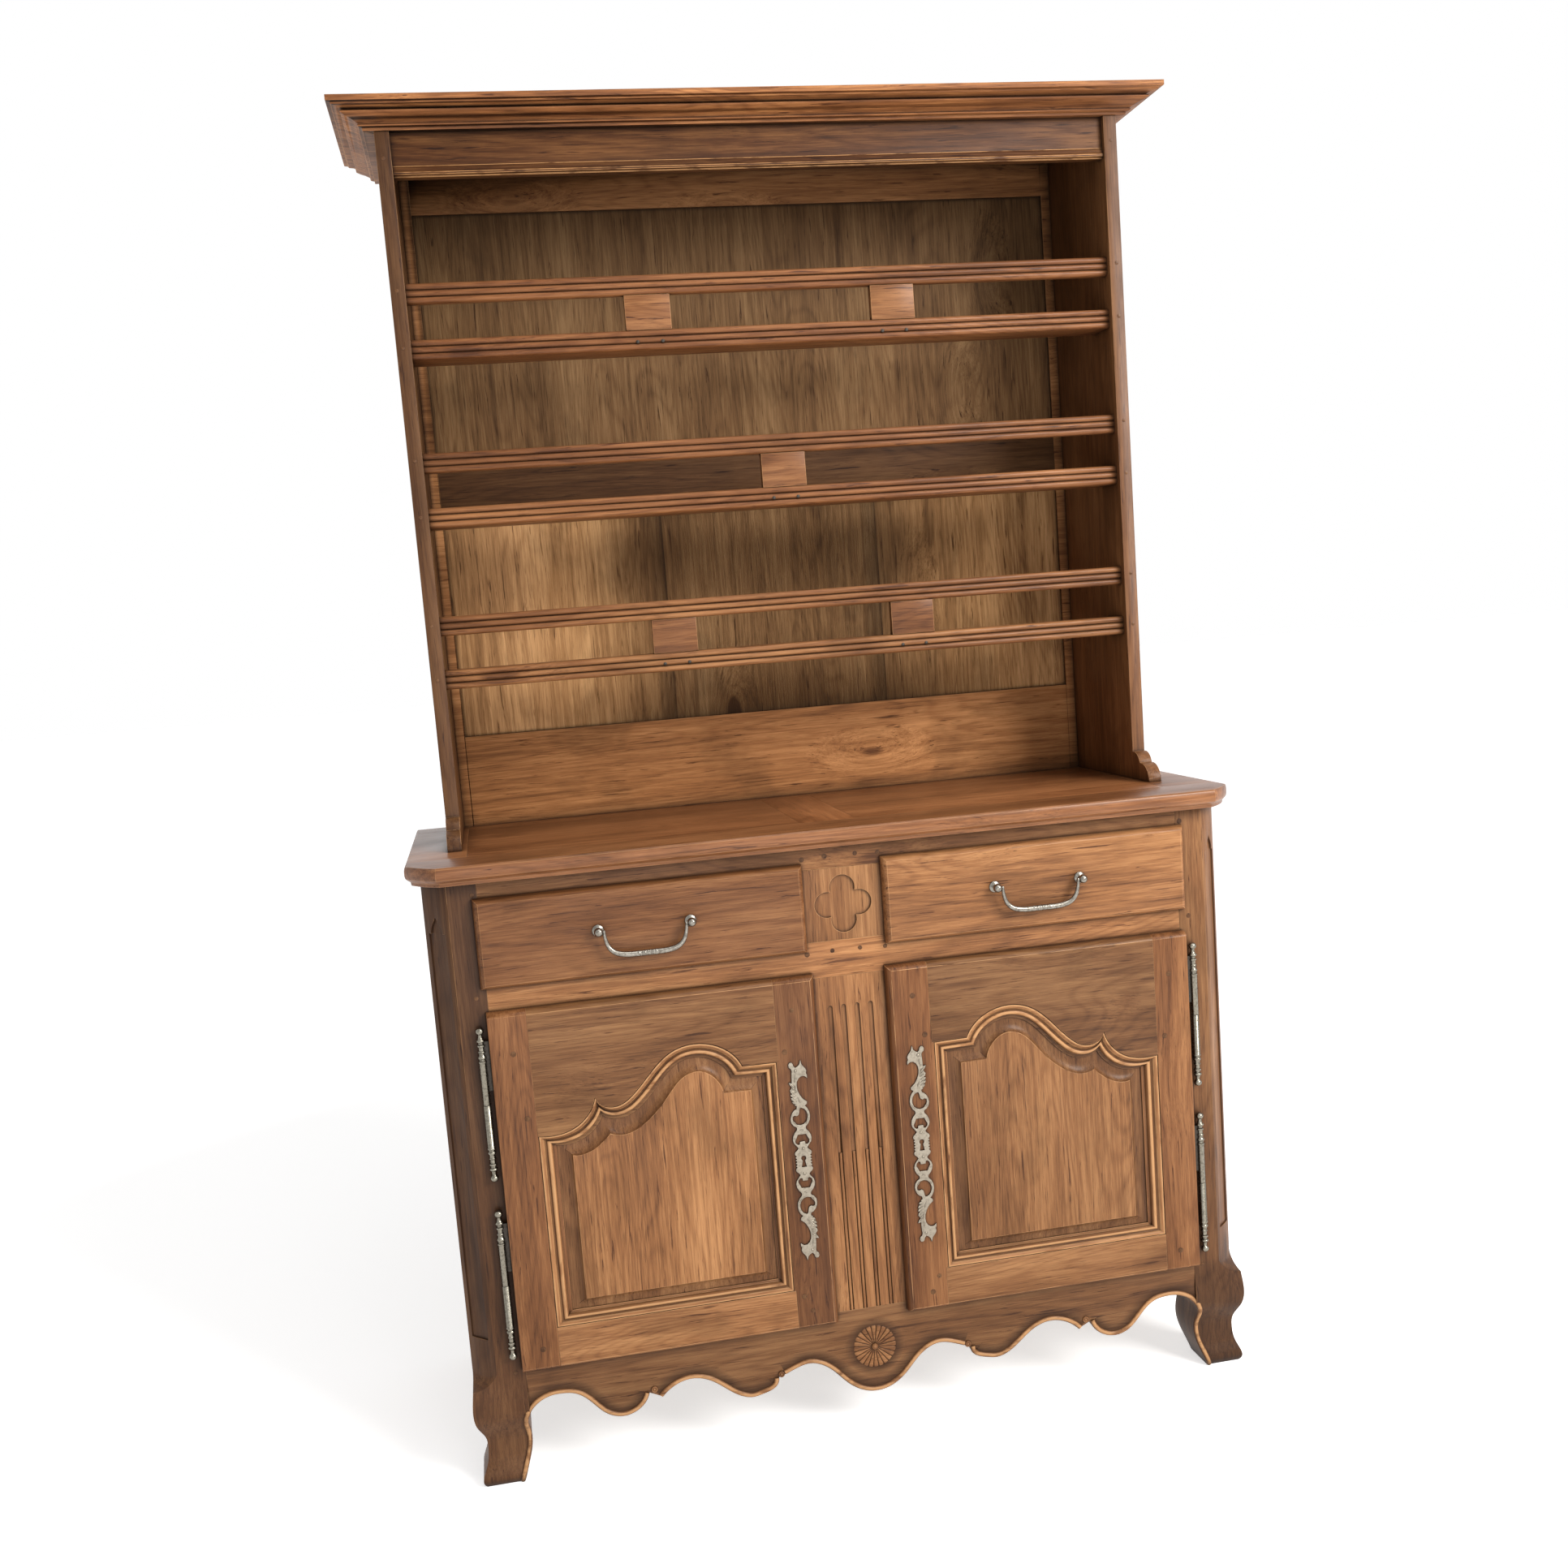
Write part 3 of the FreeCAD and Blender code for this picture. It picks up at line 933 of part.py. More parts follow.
# Plate rack: two side boards on scrolled feet
RACK_FOOT = "case_high + top_thick"
RACK_IN = "( %s - rack_board )" % RACK_HALF
foot_top, foot_ledge, foot_front = s.rack_foot_high, s.rack_foot_ledge, s.rack_front - s.rack_foot_reach
ledge_y = s.rack_front - s.rack_foot_reach * 0.45
side_outline = curves((s.case_depth, 0), (s.case_depth, s.rack_high), (s.rack_front, s.rack_high),
                      (s.rack_front, foot_top),
                      ((s.rack_front - (s.rack_front - ledge_y) * 0.72,
                        foot_ledge + (foot_top - foot_ledge) * 0.72),
                       (ledge_y, foot_ledge)),
                      (ledge_y - s.reed_deep, foot_ledge),
                      ((foot_front + (ledge_y - foot_front) * 0.22, foot_ledge * 0.68),
                       (foot_front, s.reed_deep)),
                      (foot_front, 0))
rack_side = node(prism("rack_right_side", "side", side_outline, "rack_board", x=RACK_IN, z=RACK_FOOT),
                 "rack_right_side")
node(mirrored("rack_left_side", rack_side), "rack_left_side")
RACK_X = ("0 - " + RACK_IN, RACK_IN)


def reeded_bar(name, top, deep, y):
    """A plate rail or narrow slat: a board with three reeds along its front edge."""
    reed, out = s.reed_high, s.reed_deep
    reeds = [((0, low + reed / 2), (out, low + reed)) for low in (0, reed, reed * 2)]
    outline = curves((out, 0), *reeds, (deep, 3 * reed), (deep, 0))
    return node(prism(name, "side", outline, "2 * " + RACK_IN, x=RACK_X[0], y=y,
                      z=RACK_FOOT + " + " + top + " - 3 * reed_high"), name)


blocks = []
for level, rises, spots in (("upper", "slat_top_up", (-1, 1)), ("middle", "slat_mid_up", (0,)),
                            ("lower", "slat_low_up", (-1, 1))):
    reeded_bar(level + "_slat", rises, s.slat_deep, "rack_front + slat_set_in")
    reeded_bar(level + "_plate_rail", rises + " + rail_gap + 3 * reed_high", s.plate_rail_thick,
               "rack_front + slat_set_in")
    for spot in spots:
        middle = "block_off * ( %d )" % spot
        blocks.append(board("block_%s_%d" % (level, spot + 1),
                            (middle + " - block_wide / 2", middle + " + block_wide / 2"),
                            ("rack_front + slat_set_in + block_in",
                             "rack_front + slat_set_in + block_in + block_thick"),
                            (RACK_FOOT + " + " + rises, RACK_FOOT + " + " + rises + " + rail_gap")))
node(group("spacer_blocks", *blocks), "spacer_blocks")

# Frieze with its lower moulding, cornice mitred round three sides, and the board that closes it
RACK_TOP = "case_high + top_thick + rack_high"
mould, out, thick, tall = s.frieze_mould, s.frieze_mould_out, s.frieze_thick, s.frieze_high
frieze_outline = curves((thick, 0), (thick, tall), (0, tall), (0, mould), (-out * 0.35, mould * 0.86),
                        [(-out * 0.55, mould * 0.62), (-out, mould * 0.38)], (-out, mould * 0.18),
                        (0, mould * 0.1),
                        (0, 0))
node(prism("frieze_board", "side", frieze_outline, "2 * " + RACK_IN, x=RACK_X[0],
           y="rack_front + frieze_in", z=RACK_TOP + " - frieze_high"), "frieze_board")
# Cornice profile: shares of its reach and of its height
CORNICE_SHARES = [(0.06, 0), (0.06, 0.1), (0.17, 0.13), (0.2, 0.18), (0.16, 0.22), (0.22, 0.27), (0.36, 0.36),
                  (0.5, 0.42), (0.56, 0.46), (0.63, 0.5), (0.63, 0.56), (0.56, 0.6), (0.7, 0.68), (0.85, 0.7),
                  (0.88, 0.76), (1, 0.78), (1, 1)]


def cornice_plan(reach):
    """The cornice's outer plan at one level of its profile."""
    half, front = rack_half + s.cornice_out + reach, s.rack_front - reach
    return rectangle(-half, half, front, s.case_depth)


levels = [drawing("cornice_step_%d" % i, "plan", cornice_plan(out_share * s.cornice_reach),
                  z=RACK_TOP + " + cornice_high * %s" % up)
                  for i, (out_share, up) in enumerate(CORNICE_SHARES)]
INSIDE_X = ("0 - ( %s + cornice_out - cornice_wall )" % RACK_HALF,
            RACK_HALF + " + cornice_out - cornice_wall")
cornice_wall = board("cornice_inside", INSIDE_X, ("rack_front + cornice_wall", "case_depth + over"),
                     (RACK_TOP + " - over", RACK_TOP + " + cornice_high + over"))
cornice_whole = cut("cornice_whole", lofted("cornice_blank", levels), cornice_wall)
mitre_out = s.cornice_reach + s.over
mitre_x, mitre_y = rack_half + s.cornice_out, s.rack_front
near, far = (mitre_x - s.cornice_wall, mitre_y + s.cornice_wall), (mitre_x + mitre_out, mitre_y - mitre_out)
front_region = prism("cornice_front_region", "plan",
                     curves((-far[0], far[1]), far, near, (-near[0], near[1])),
                     "cornice_high + 2 * over", z=RACK_TOP + " - over")
end_region = prism("cornice_end_region", "plan", curves(far, (far[0], s.case_depth + s.over),
                                                        (near[0], s.case_depth + s.over), near),
                   "cornice_high + 2 * over", z=RACK_TOP + " - over")
cornice_end = common("cornice_end_right", cornice_whole, end_region)
node(group("cornice", common("cornice_front", cornice_whole, front_region), cornice_end,
           mirrored("cornice_end_left", cornice_end)), "cornice")
node(board("rack_top_board", INSIDE_X, ("rack_front + cornice_wall", "case_depth"),
           (RACK_TOP, RACK_TOP + " + dust_board")), "rack_top_board")

# Back of the rack: a frame of three rails and two narrow stiles, filled with upright boards
FRAME_BACK_Y = ("case_depth - back_frame_thick", "case_depth")
RAIL_X = ("0 - ( %s - back_stile )" % RACK_IN, RACK_IN + " - back_stile")
rack_stile = board("rack_back_stile", (RAIL_X[1], RACK_IN), FRAME_BACK_Y, (RACK_FOOT, RACK_TOP))
rack_rails = [board("rack_back_rail_top", RAIL_X, FRAME_BACK_Y, (RACK_TOP + " - rack_rail_top", RACK_TOP)),
              board("rack_back_rail_mid", RAIL_X, FRAME_BACK_Y,
                    (RACK_FOOT + " + rack_rail_mid_up", RACK_FOOT + " + rack_rail_mid_up + rack_rail_mid")),
              board("rack_back_rail_low", RAIL_X, FRAME_BACK_Y, (RACK_FOOT, RACK_FOOT + " + rack_rail_low"))]
node(group("rack_back_frame", rack_stile, mirrored("rack_back_stile_left", rack_stile), *rack_rails),
     "rack_back_frame")
BOARD_Y = ("case_depth - ( back_frame_thick + back_board ) / 2",
           "case_depth - ( back_frame_thick - back_board ) / 2")
# Widths of the upright boards as shares of the half width between the stiles
UPPER_JOINT_SHARES = (-1, -0.52, -0.08, 0.4, 1)
LOWER_JOINT_SHARES = (-1, -0.32, 0.38, 1)
uprights = []
for tag, shares, span in (("upper", UPPER_JOINT_SHARES, (RACK_FOOT + " + rack_rail_mid_up + rack_rail_mid",
                                                         RACK_TOP + " - rack_rail_top")),
                          ("lower", LOWER_JOINT_SHARES, (RACK_FOOT + " + rack_rail_low",
                                                         RACK_FOOT + " + rack_rail_mid_up"))):
    for index, (left, right) in enumerate(zip(shares, shares[1:])):
        ends = ["( %s - back_stile ) * ( %s )" % (RACK_IN, share) for share in (left, right)]
        uprights.append(board("upright_%s_%d" % (tag, index), ends, BOARD_Y, span))
node(group("rack_back_boards", *uprights), "rack_back_boards")

doc.recompute()
for piece in doc.Objects:
    if {"Invalid", "Error"} & set(piece.State):
        raise RuntimeError("%s did not build: %s" % (piece.Name, piece.State))
os.makedirs("parts", exist_ok=True)
for name, piece in nodes.items():
    if piece.Shape.isNull() or not piece.Shape.isValid() or not piece.Shape.Solids:
        raise RuntimeError("%s has no sound shape" % name)
    piece.Shape.exportStep("parts/%s.step" % name)
    print("%-24s %2d solids %10.1f cm3" % (name, len(piece.Shape.Solids), piece.Shape.Volume / 1000))
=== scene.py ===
"""The look of a provincial dresser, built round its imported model: waxed wood, worn metal and small trim."""

import json
import logging
import math
import random
from dataclasses import dataclass, field
from enum import Enum
from typing import Callable

import bmesh
import bpy
from bmesh.types import BMesh, BMEdge, BMFace, BMVert
from bpy.types import Material, Node, NodeSocket, NodeTree, Object
from mathutils import Matrix, Vector

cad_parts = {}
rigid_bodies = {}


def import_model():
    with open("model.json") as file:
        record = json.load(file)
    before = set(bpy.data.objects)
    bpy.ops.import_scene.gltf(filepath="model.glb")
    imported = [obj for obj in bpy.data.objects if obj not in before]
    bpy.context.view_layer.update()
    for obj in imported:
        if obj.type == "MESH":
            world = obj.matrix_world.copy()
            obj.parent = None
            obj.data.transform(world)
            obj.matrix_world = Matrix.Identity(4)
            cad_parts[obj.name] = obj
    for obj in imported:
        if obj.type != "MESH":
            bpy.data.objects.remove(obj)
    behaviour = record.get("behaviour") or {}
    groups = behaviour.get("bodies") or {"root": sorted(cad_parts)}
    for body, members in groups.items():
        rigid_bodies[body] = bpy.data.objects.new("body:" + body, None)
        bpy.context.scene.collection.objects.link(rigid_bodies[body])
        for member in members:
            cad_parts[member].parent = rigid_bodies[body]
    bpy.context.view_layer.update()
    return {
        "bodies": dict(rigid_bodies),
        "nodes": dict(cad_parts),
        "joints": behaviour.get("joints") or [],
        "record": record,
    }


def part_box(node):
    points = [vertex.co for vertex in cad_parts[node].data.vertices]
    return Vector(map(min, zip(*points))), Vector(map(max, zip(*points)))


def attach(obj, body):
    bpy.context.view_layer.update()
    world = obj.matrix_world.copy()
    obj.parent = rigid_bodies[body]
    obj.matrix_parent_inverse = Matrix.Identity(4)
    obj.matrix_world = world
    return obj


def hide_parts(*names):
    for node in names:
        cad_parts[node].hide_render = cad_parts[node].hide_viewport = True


log = logging.getLogger("dresser")
MM = 0.001
WHITE = (1, 1, 1, 1)
FORWARDS = Vector((0, -1, 0))
# Corners of a CAD mesh, or of a turned one, that lie nearer than this are one
CAD_WELD = 0.02 * MM
TURNED_WELD = 0.005 * MM
# Faces that meet at less than this are one
FLAT = math.radians(0.5)
Pair = tuple[float, float]
Triple = tuple[float, float, float]
Feed = NodeSocket | float | tuple


class Grain(Enum):
    """Which way a board's fibres run."""

    ACROSS = "x"
    DEEP = "y"
    UPRIGHT = "z"
    LONGEST = "longest"


class Wiring:
    """Adds nodes to one shader tree and joins them up."""

    def __init__(self, tree: NodeTree) -> None:
        """Take the tree that the nodes go into."""
        self.tree = tree

    def fill(self, node: Node, inputs: dict[str | int, Feed]) -> None:
        """Set or link the inputs of a node.

        Args:
            node: The node.
            inputs: A number, a colour or a socket for each input, by its name or place.
        """
        for name, value in inputs.items():
            if isinstance(value, (int, float, tuple)):
                node.inputs[name].default_value = value
            else:
                self.tree.links.new(value, node.inputs[name])

    def node(self, kind: str, inputs: dict[str | int, Feed], **settings: object) -> Node:
        """Add a node.

        Args:
            kind: The node's type, after the word ShaderNode.
            inputs: A number, a colour or a socket for each input, by its name or place.
            **settings: The node's own settings.

        Returns:
            The new node.
        """
        node = self.tree.nodes.new("ShaderNode" + kind)
        for name, value in settings.items():
            setattr(node, name, value)
        self.fill(node, inputs)
        return node

    def math(self, kind: str, *values: Feed) -> NodeSocket:
        """Reckon with sockets or numbers."""
        return self.node("Math", dict(enumerate(values)), operation=kind).outputs[0]

    def mix(self, factor: Feed, first: Feed, second: Feed, kind: str = "MIX") -> NodeSocket:
        """Mix two colours, the factor being the second one's share."""
        inputs = {"Factor": factor, "A": first, "B": second}
        return self.node("Mix", inputs, data_type="RGBA", blend_type=kind).outputs["Result"]

    def step(self, value: NodeSocket, low: float, high: float) -> NodeSocket:
        """Turn a value into a share that runs smoothly from 0 at low to 1 at high."""
        inputs = {"Value": value, "From Min": low, "From Max": high}
        return self.node("MapRange", inputs, interpolation_type="SMOOTHSTEP").outputs["Result"]

    def spread(self, share: NodeSocket, low: float, high: float) -> NodeSocket:
        """Spread a share over the numbers from low to high."""
        return self.node("MapRange", {"Value": share, "To Min": low, "To Max": high}).outputs["Result"]

    def noise(self, vector: NodeSocket, stretch: Triple, detail: float, roughness: float = 0.5,
              distortion: float = 0.0) -> NodeSocket:
        """Add noise on stretched coordinates.

        Args:
            vector: The coordinates.
            stretch: Features per metre along, across and through the fibres.
            detail: Octaves of the noise.
            roughness: How strong the fine octaves are.
            distortion: How far the noise bends itself.

        Returns:
            The noise's value.
        """
        place = self.node("Mapping", {"Vector": vector, "Scale": stretch}).outputs["Vector"]
        inputs = {"Vector": place, "Scale": 1.0, "Detail": detail, "Roughness": roughness, "Distortion": distortion}
        return self.node("TexNoise", inputs).outputs["Fac"]

    def hollow(self, reach: float, free: float, shut: float) -> NodeSocket:
        """Find where other surfaces close in.

        Args:
            reach: How far away they still count, in millimetres.
            free: Share of open sky above which a place isn't hollow at all.
            shut: Share of open sky at which it is wholly so.

        Returns:
            How hollow each place is, from 0 to 1.
        """
        node = self.node("AmbientOcclusion", {"Distance": reach * MM}, samples=6)
        return self.step(node.outputs["AO"], free, shut)

    def bump(self, height: NodeSocket, strength: float, deep: float) -> NodeSocket:
        """Turn a height into a normal, its depth being in millimetres."""
        return self.node("Bump", {"Height": height, "Strength": strength, "Distance": deep * MM}).outputs["Normal"]

    def seen(self) -> NodeSocket:
        """Give 1 to the camera and to what mirrors or glass show it, and 0 to light on its way."""
        rays = self.node("LightPath", {}).outputs
        direct = self.math("MAXIMUM", rays["Is Camera Ray"], rays["Is Glossy Ray"])
        return self.math("MAXIMUM", direct, rays["Is Transmission Ray"])


def new_material(name: str) -> tuple[Material, Wiring, Node]:
    """Make a material with a bare Principled BSDF, and give it with its wiring and its shader node."""
    material = bpy.data.materials.new(name)
    material.use_nodes = True
    shader = next(node for node in material.node_tree.nodes if node.type == "BSDF_PRINCIPLED")
    return material, Wiring(material.node_tree), shader


class EffectGroups:
    """Shader node groups for wood figure, years of use with painted shade, and patina, built once."""

    def __init__(self) -> None:
        """Build every group."""
        self.figure = self._figure()
        self.age = self._age()
        self.patina = self._patina()

    @staticmethod
    def _start(name: str, inputs: dict[str, tuple[str, object]],
               outputs: dict[str, str]) -> tuple[Wiring, Node, Node]:
        """Make an empty group with named sockets.

        Args:
            name: The group's name.
            inputs: Kind and default of each input, by name.
            outputs: Kind of each output, by name.

        Returns:
            The group's wiring with its input and output nodes.
        """
        group = bpy.data.node_groups.new(name, "ShaderNodeTree")
        for label, (kind, value) in inputs.items():
            socket = group.interface.new_socket(name=label, in_out="INPUT", socket_type="NodeSocket" + kind)
            if value is not None:
                socket.default_value = value
        for label, kind in outputs.items():
            group.interface.new_socket(name=label, in_out="OUTPUT", socket_type="NodeSocket" + kind)
        return Wiring(group), group.nodes.new("NodeGroupInput"), group.nodes.new("NodeGroupOutput")

    def _figure(self) -> NodeTree:
        """Draw wood figure on coordinates whose X runs along the fibres.

        Returns:
            A group that gives the figure, the pores and the surface height.
        """
        wires, start, end = self._start("wood_figure", {"Vector": ("Vector", None), "Knots": ("Float", 0.3)},
                                        {"Figure": "Float", "Pores": "Float", "Height": "Float"})
        given = start.outputs
        spread = wires.node("Mapping", {"Vector": given["Vector"], "Scale": (2.2, 5.5, 5.5)}).outputs["Vector"]
        cells = wires.node("TexVoronoi", {"Vector": spread, "Scale": 1.0, "Randomness": 1.0}).outputs["Distance"]
        reach = wires.math("MULTIPLY", wires.step(cells, 0.3, 0.0), given["Knots"])
        shove = wires.math("MULTIPLY", reach, 0.035)
        push = wires.node("CombineXYZ", {"Y": shove, "Z": shove}).outputs[0]
        vector = wires.node("VectorMath", {0: push, 1: (0.0, 1.0, 1.0), 2: given["Vector"]},
                            operation="MULTIPLY_ADD").outputs[0]
        bands = wires.noise(vector, (1.3, 8.0, 8.0), 4.0, 0.55, 0.7)
        swell = wires.noise(vector, (0.9, 7.0, 7.0), 2.0, 0.45, 0.4)
        rings = wires.math("SINE", wires.math("MULTIPLY", swell, 210.0))
        rings = wires.math("POWER", wires.math("MULTIPLY_ADD", rings, 0.5, 0.5), 3.0)
        streaks = wires.noise(vector, (3.5, 95.0, 95.0), 8.0, 0.72, 0.5)
        fibre = wires.noise(vector, (18.0, 520.0, 520.0), 4.0, 0.65)
        ticks = wires.step(wires.noise(vector, (13.0, 240.0, 240.0), 4.0, 0.6, 0.5), 0.6, 0.72)
        knot = wires.math("MULTIPLY", wires.step(cells, 0.085, 0.03), given["Knots"])
        total = wires.math("MULTIPLY_ADD", bands, 0.9, -0.665)
        for layer, share in ((rings, -0.1), (streaks, 1.0), (fibre, 0.55), (ticks, -0.5), (knot, -0.9)):
            total = wires.math("MULTIPLY_ADD", layer, share, total)
        pores = wires.step(wires.noise(vector, (26.0, 1300.0, 1300.0), 2.0), 0.58, 0.72)
        height = wires.math("MULTIPLY_ADD", pores, -0.6, wires.math("MULTIPLY", streaks, 0.7))
        wires.fill(end, {"Figure": total, "Pores": pores, "Height": height})
        return wires.tree

    def _age(self) -> NodeTree:
        """Do to a wood's colour what years of use do, and paint shade into its corners, grooves and marked places.

        Returns:
            A group that gives the colour with its painted shade, and how dull the surface is.
        """
        inputs = {"Color": ("Color", None), "Board": ("Float", 0.5), "Arris": ("Float", 0.0),
                  "Vector": ("Vector", None), "Pores": ("Float", 0.0), "Warmth": ("Float", 0.0),
                  "Grime": ("Float", 0.0), "Spread": ("Float", 0.2), "Wear": ("Float", 0.5),
                  "Stains": ("Float", 0.0), "Dirt": ("Float", 0.7), "Worn Color": ("Color", WHITE),
                  "Dirt Color": ("Color", (0, 0, 0, 1))}
        wires, start, end = self._start("age_of_wood", inputs, {"Color": "Color", "Dullness": "Float"})
        given = start.outputs
        tone = wires.math("SUBTRACT", given["Board"], 0.5)
        tone = wires.math("MULTIPLY_ADD", wires.math("MULTIPLY", tone, given["Spread"]), 2.0, 1.0)
        colour = wires.node("VectorMath", {0: given["Color"], "Scale": tone}, operation="SCALE").outputs[0]
        redder = wires.mix(1.0, colour, (1.06, 0.8, 0.64, 1), "MULTIPLY")
        colour = wires.mix(given["Warmth"], colour, redder)
        colour = wires.mix(wires.math("MULTIPLY", given["Pores"], 0.55), colour, given["Dirt Color"])
        clouds = wires.noise(given["Vector"], (5.0, 9.0, 9.0), 4.0, 0.6, 0.4)
        stain = wires.math("MULTIPLY", wires.step(clouds, 0.5, 0.68), given["Stains"])
        colour = wires.mix(stain, colour, given["Dirt Color"])
        rub = wires.step(wires.noise(given["Vector"], (22.0, 70.0, 70.0), 3.0, 0.6), 0.3, 0.54)
        worn = wires.math("MULTIPLY", wires.math("MULTIPLY", given["Arris"], rub), given["Wear"])
        colour = wires.mix(worn, colour, given["Worn Color"])
        # Painted shade: corners and grooves found by ambient occlusion, and the vertices marked for it, darken
        # towards the stain and shade colour
        corner = wires.math("MULTIPLY", wires.hollow(30, 0.97, 0.3), 0.85)
        closed = wires.math("MAXIMUM", corner, wires.hollow(6, 0.98, 0.5))
        patchy = wires.noise(given["Vector"], (30.0, 60.0, 60.0), 3.0, 0.6)
        grime = wires.math("MULTIPLY", given["Grime"], wires.math("MULTIPLY_ADD", patchy, 0.7, 0.5))
        closed = wires.math("MINIMUM", wires.math("MAXIMUM", closed, grime), 1.0)
        colour = wires.mix(wires.math("MULTIPLY", closed, given["Dirt"]), colour, given["Dirt Color"])
        wires.fill(end, {"Color": colour, "Dullness": wires.math("MAXIMUM", clouds, closed)})
        return wires.tree

    def _patina(self) -> NodeTree:
        """Gather tarnish in hollows and in small clouds.

        Returns:
            A group that gives the tarnish mask and the surface height.
        """
        wires, start, end = self._start(
            "metal_patina", {"Vector": ("Vector", None), "Scale": ("Float", 200.0), "Tarnish": ("Float", 0.5)},
            {"Mask": "Float", "Height": "Float"})
        given = start.outputs
        inputs = {"Vector": given["Vector"], "Scale": given["Scale"], "Detail": 4.0}
        texture = wires.node("TexNoise", inputs).outputs["Fac"]
        clouds = wires.math("MULTIPLY", wires.step(texture, 0.35, 0.85), given["Tarnish"])
        both = wires.math("ADD", clouds, wires.hollow(3.5, 0.96, 0.45))
        mask = wires.math("MINIMUM", wires.math("MAXIMUM", both, 0.0), 1.0)
        wires.fill(end, {"Mask": mask, "Height": texture})
        return wires.tree


@dataclass(frozen=True)
class WoodFinish:
    """One waxed or bare wood: its colours, how strongly it is figured, and its sheen."""

    name: str
    dark: Triple
    middle: Triple
    light: Triple
    worn: Triple
    # Colour of stains and filled pores, and the colour that painted shade darkens towards
    stain_and_shade: Triple
    roughness: float = 0.42
    coat: float = 0.22
    gloss: float = 0.15
    board_spread: float = 0.2
    stains: float = 0.24
    knots: float = 0.3
    wear: float = 0.85
    # How strongly painted shade darkens corners, grooves and marked places
    shade_share: float = 0.85
    relief: float = 0.25

    def material(self, groups: EffectGroups) -> Material:
        """Build the node material of this wood.

        Args:
            groups: The shader node groups that all finishes share.

        Returns:
            The finished material.
        """
        material, wires, shader = new_material(self.name)
        # Attributes: grain coordinates, board tone, worn edges, warmth and painted shade
        grain, board, arris, warmth, grime = (
            wires.node("Attribute", {}, attribute_name=name).outputs
            for name in ("grain", "board_tone", "arris", "board_warmth", "grime"))
        inputs = {"Vector": grain["Vector"], "Knots": self.knots}
        figure = wires.node("Group", inputs, node_tree=groups.figure).outputs
        ramp = wires.node("ValToRGB", {"Fac": figure["Figure"]})
        first, last = ramp.color_ramp.elements
        first.color, first.position = (*self.dark, 1), 0.16
        last.color, last.position = (*self.light, 1), 0.85
        ramp.color_ramp.elements.new(0.5).color = (*self.middle, 1)
        inputs = {"Color": ramp.outputs["Color"], "Board": board["Fac"], "Arris": arris["Fac"],
                  "Vector": grain["Vector"], "Pores": figure["Pores"], "Warmth": warmth["Fac"],
                  "Grime": grime["Fac"], "Spread": self.board_spread, "Wear": self.wear, "Stains": self.stains,
                  "Dirt": self.shade_share, "Worn Color": (*self.worn, 1), "Dirt Color": (*self.stain_and_shade, 1)}
        age = wires.node("Group", inputs, node_tree=groups.age).outputs
        wires.fill(shader, {
            "Base Color": age["Color"], "Specular IOR Level": self.gloss, "Coat Roughness": 0.22,
            "Roughness": wires.spread(age["Dullness"], self.roughness - 0.08, self.roughness + 0.16),
            "Coat Weight": wires.spread(age["Dullness"], self.coat, 0.0),
            "Normal": wires.bump(figure["Height"], self.relief, 0.6)})
        return material


@dataclass(frozen=True)
class MetalFinish:
    """One worn metal: bright on what is rubbed, dark in the hollows."""

    name: str
    bright: Triple
    tarnish: Triple
    roughness: float = 0.32
    grain_per_metre: float = 260.0
    tarnish_share: float = 0.5

    def material(self, groups: EffectGroups) -> Material:
        """Build the node material of this metal.

        Args:
            groups: The shader node groups that all finishes share.

        Returns:
            The finished material.
        """
        material, wires, shader = new_material(self.name)
        inputs = {"Vector": wires.node("TexCoord", {}).outputs["Object"], "Scale": self.grain_per_metre,
                  "Tarnish": self.tarnish_share}
        patina = wires.node("Group", inputs, node_tree=groups.patina).outputs
        wires.fill(shader, {
            "Base Color": wires.mix(patina["Mask"], (*self.bright, 1), (*self.tarnish, 1)), "Metallic": 1.0,
            "Roughness": wires.spread(patina["Mask"], self.roughness - 0.06, self.roughness + 0.28),
            "Normal": wires.bump(patina["Height"], 0.12, 0.12)})
        return material


WAXED = WoodFinish("waxed_cherry", (0.085, 0.031, 0.011), (0.235, 0.099, 0.036), (0.42, 0.205, 0.083),
                   (0.52, 0.28, 0.125), (0.022, 0.009, 0.004))
POLISHED = WoodFinish("polished_cherry", (0.07, 0.026, 0.010), (0.185, 0.078, 0.03), (0.33, 0.155, 0.066),
                      (0.45, 0.24, 0.11), (0.02, 0.008, 0.004), roughness=0.3, coat=0.5, wear=0.4)
DARK = WoodFinish("dark_walnut", (0.035, 0.012, 0.005), (0.115, 0.044, 0.015), (0.27, 0.12, 0.042),
                  (0.5, 0.26, 0.105), (0.011, 0.005, 0.003), roughness=0.46, coat=0.03, wear=1.0)
BACK = WoodFinish("back_oak", (0.08, 0.036, 0.014), (0.235, 0.12, 0.048), (0.41, 0.235, 0.105),
                  (0.44, 0.26, 0.125), (0.016, 0.008, 0.004), roughness=0.62, coat=0.0, stains=0.26, wear=0.25,
                  board_spread=0.3, knots=1.0)
INNER = WoodFinish("inner_poplar", (0.25, 0.155, 0.08), (0.40, 0.27, 0.15), (0.52, 0.375, 0.22),
                   (0.55, 0.41, 0.26), (0.08, 0.048, 0.025), roughness=0.66, coat=0.0, stains=0.2, wear=0.1)
WOODS = (WAXED, POLISHED, DARK, BACK, INNER)
SILVERED = MetalFinish("silvered_pulls", (0.27, 0.25, 0.215), (0.05, 0.038, 0.028), 0.24, tarnish_share=0.75)
NICKEL = MetalFinish("nickel_hinges", (0.25, 0.23, 0.185), (0.045, 0.036, 0.027), 0.25, tarnish_share=0.65)
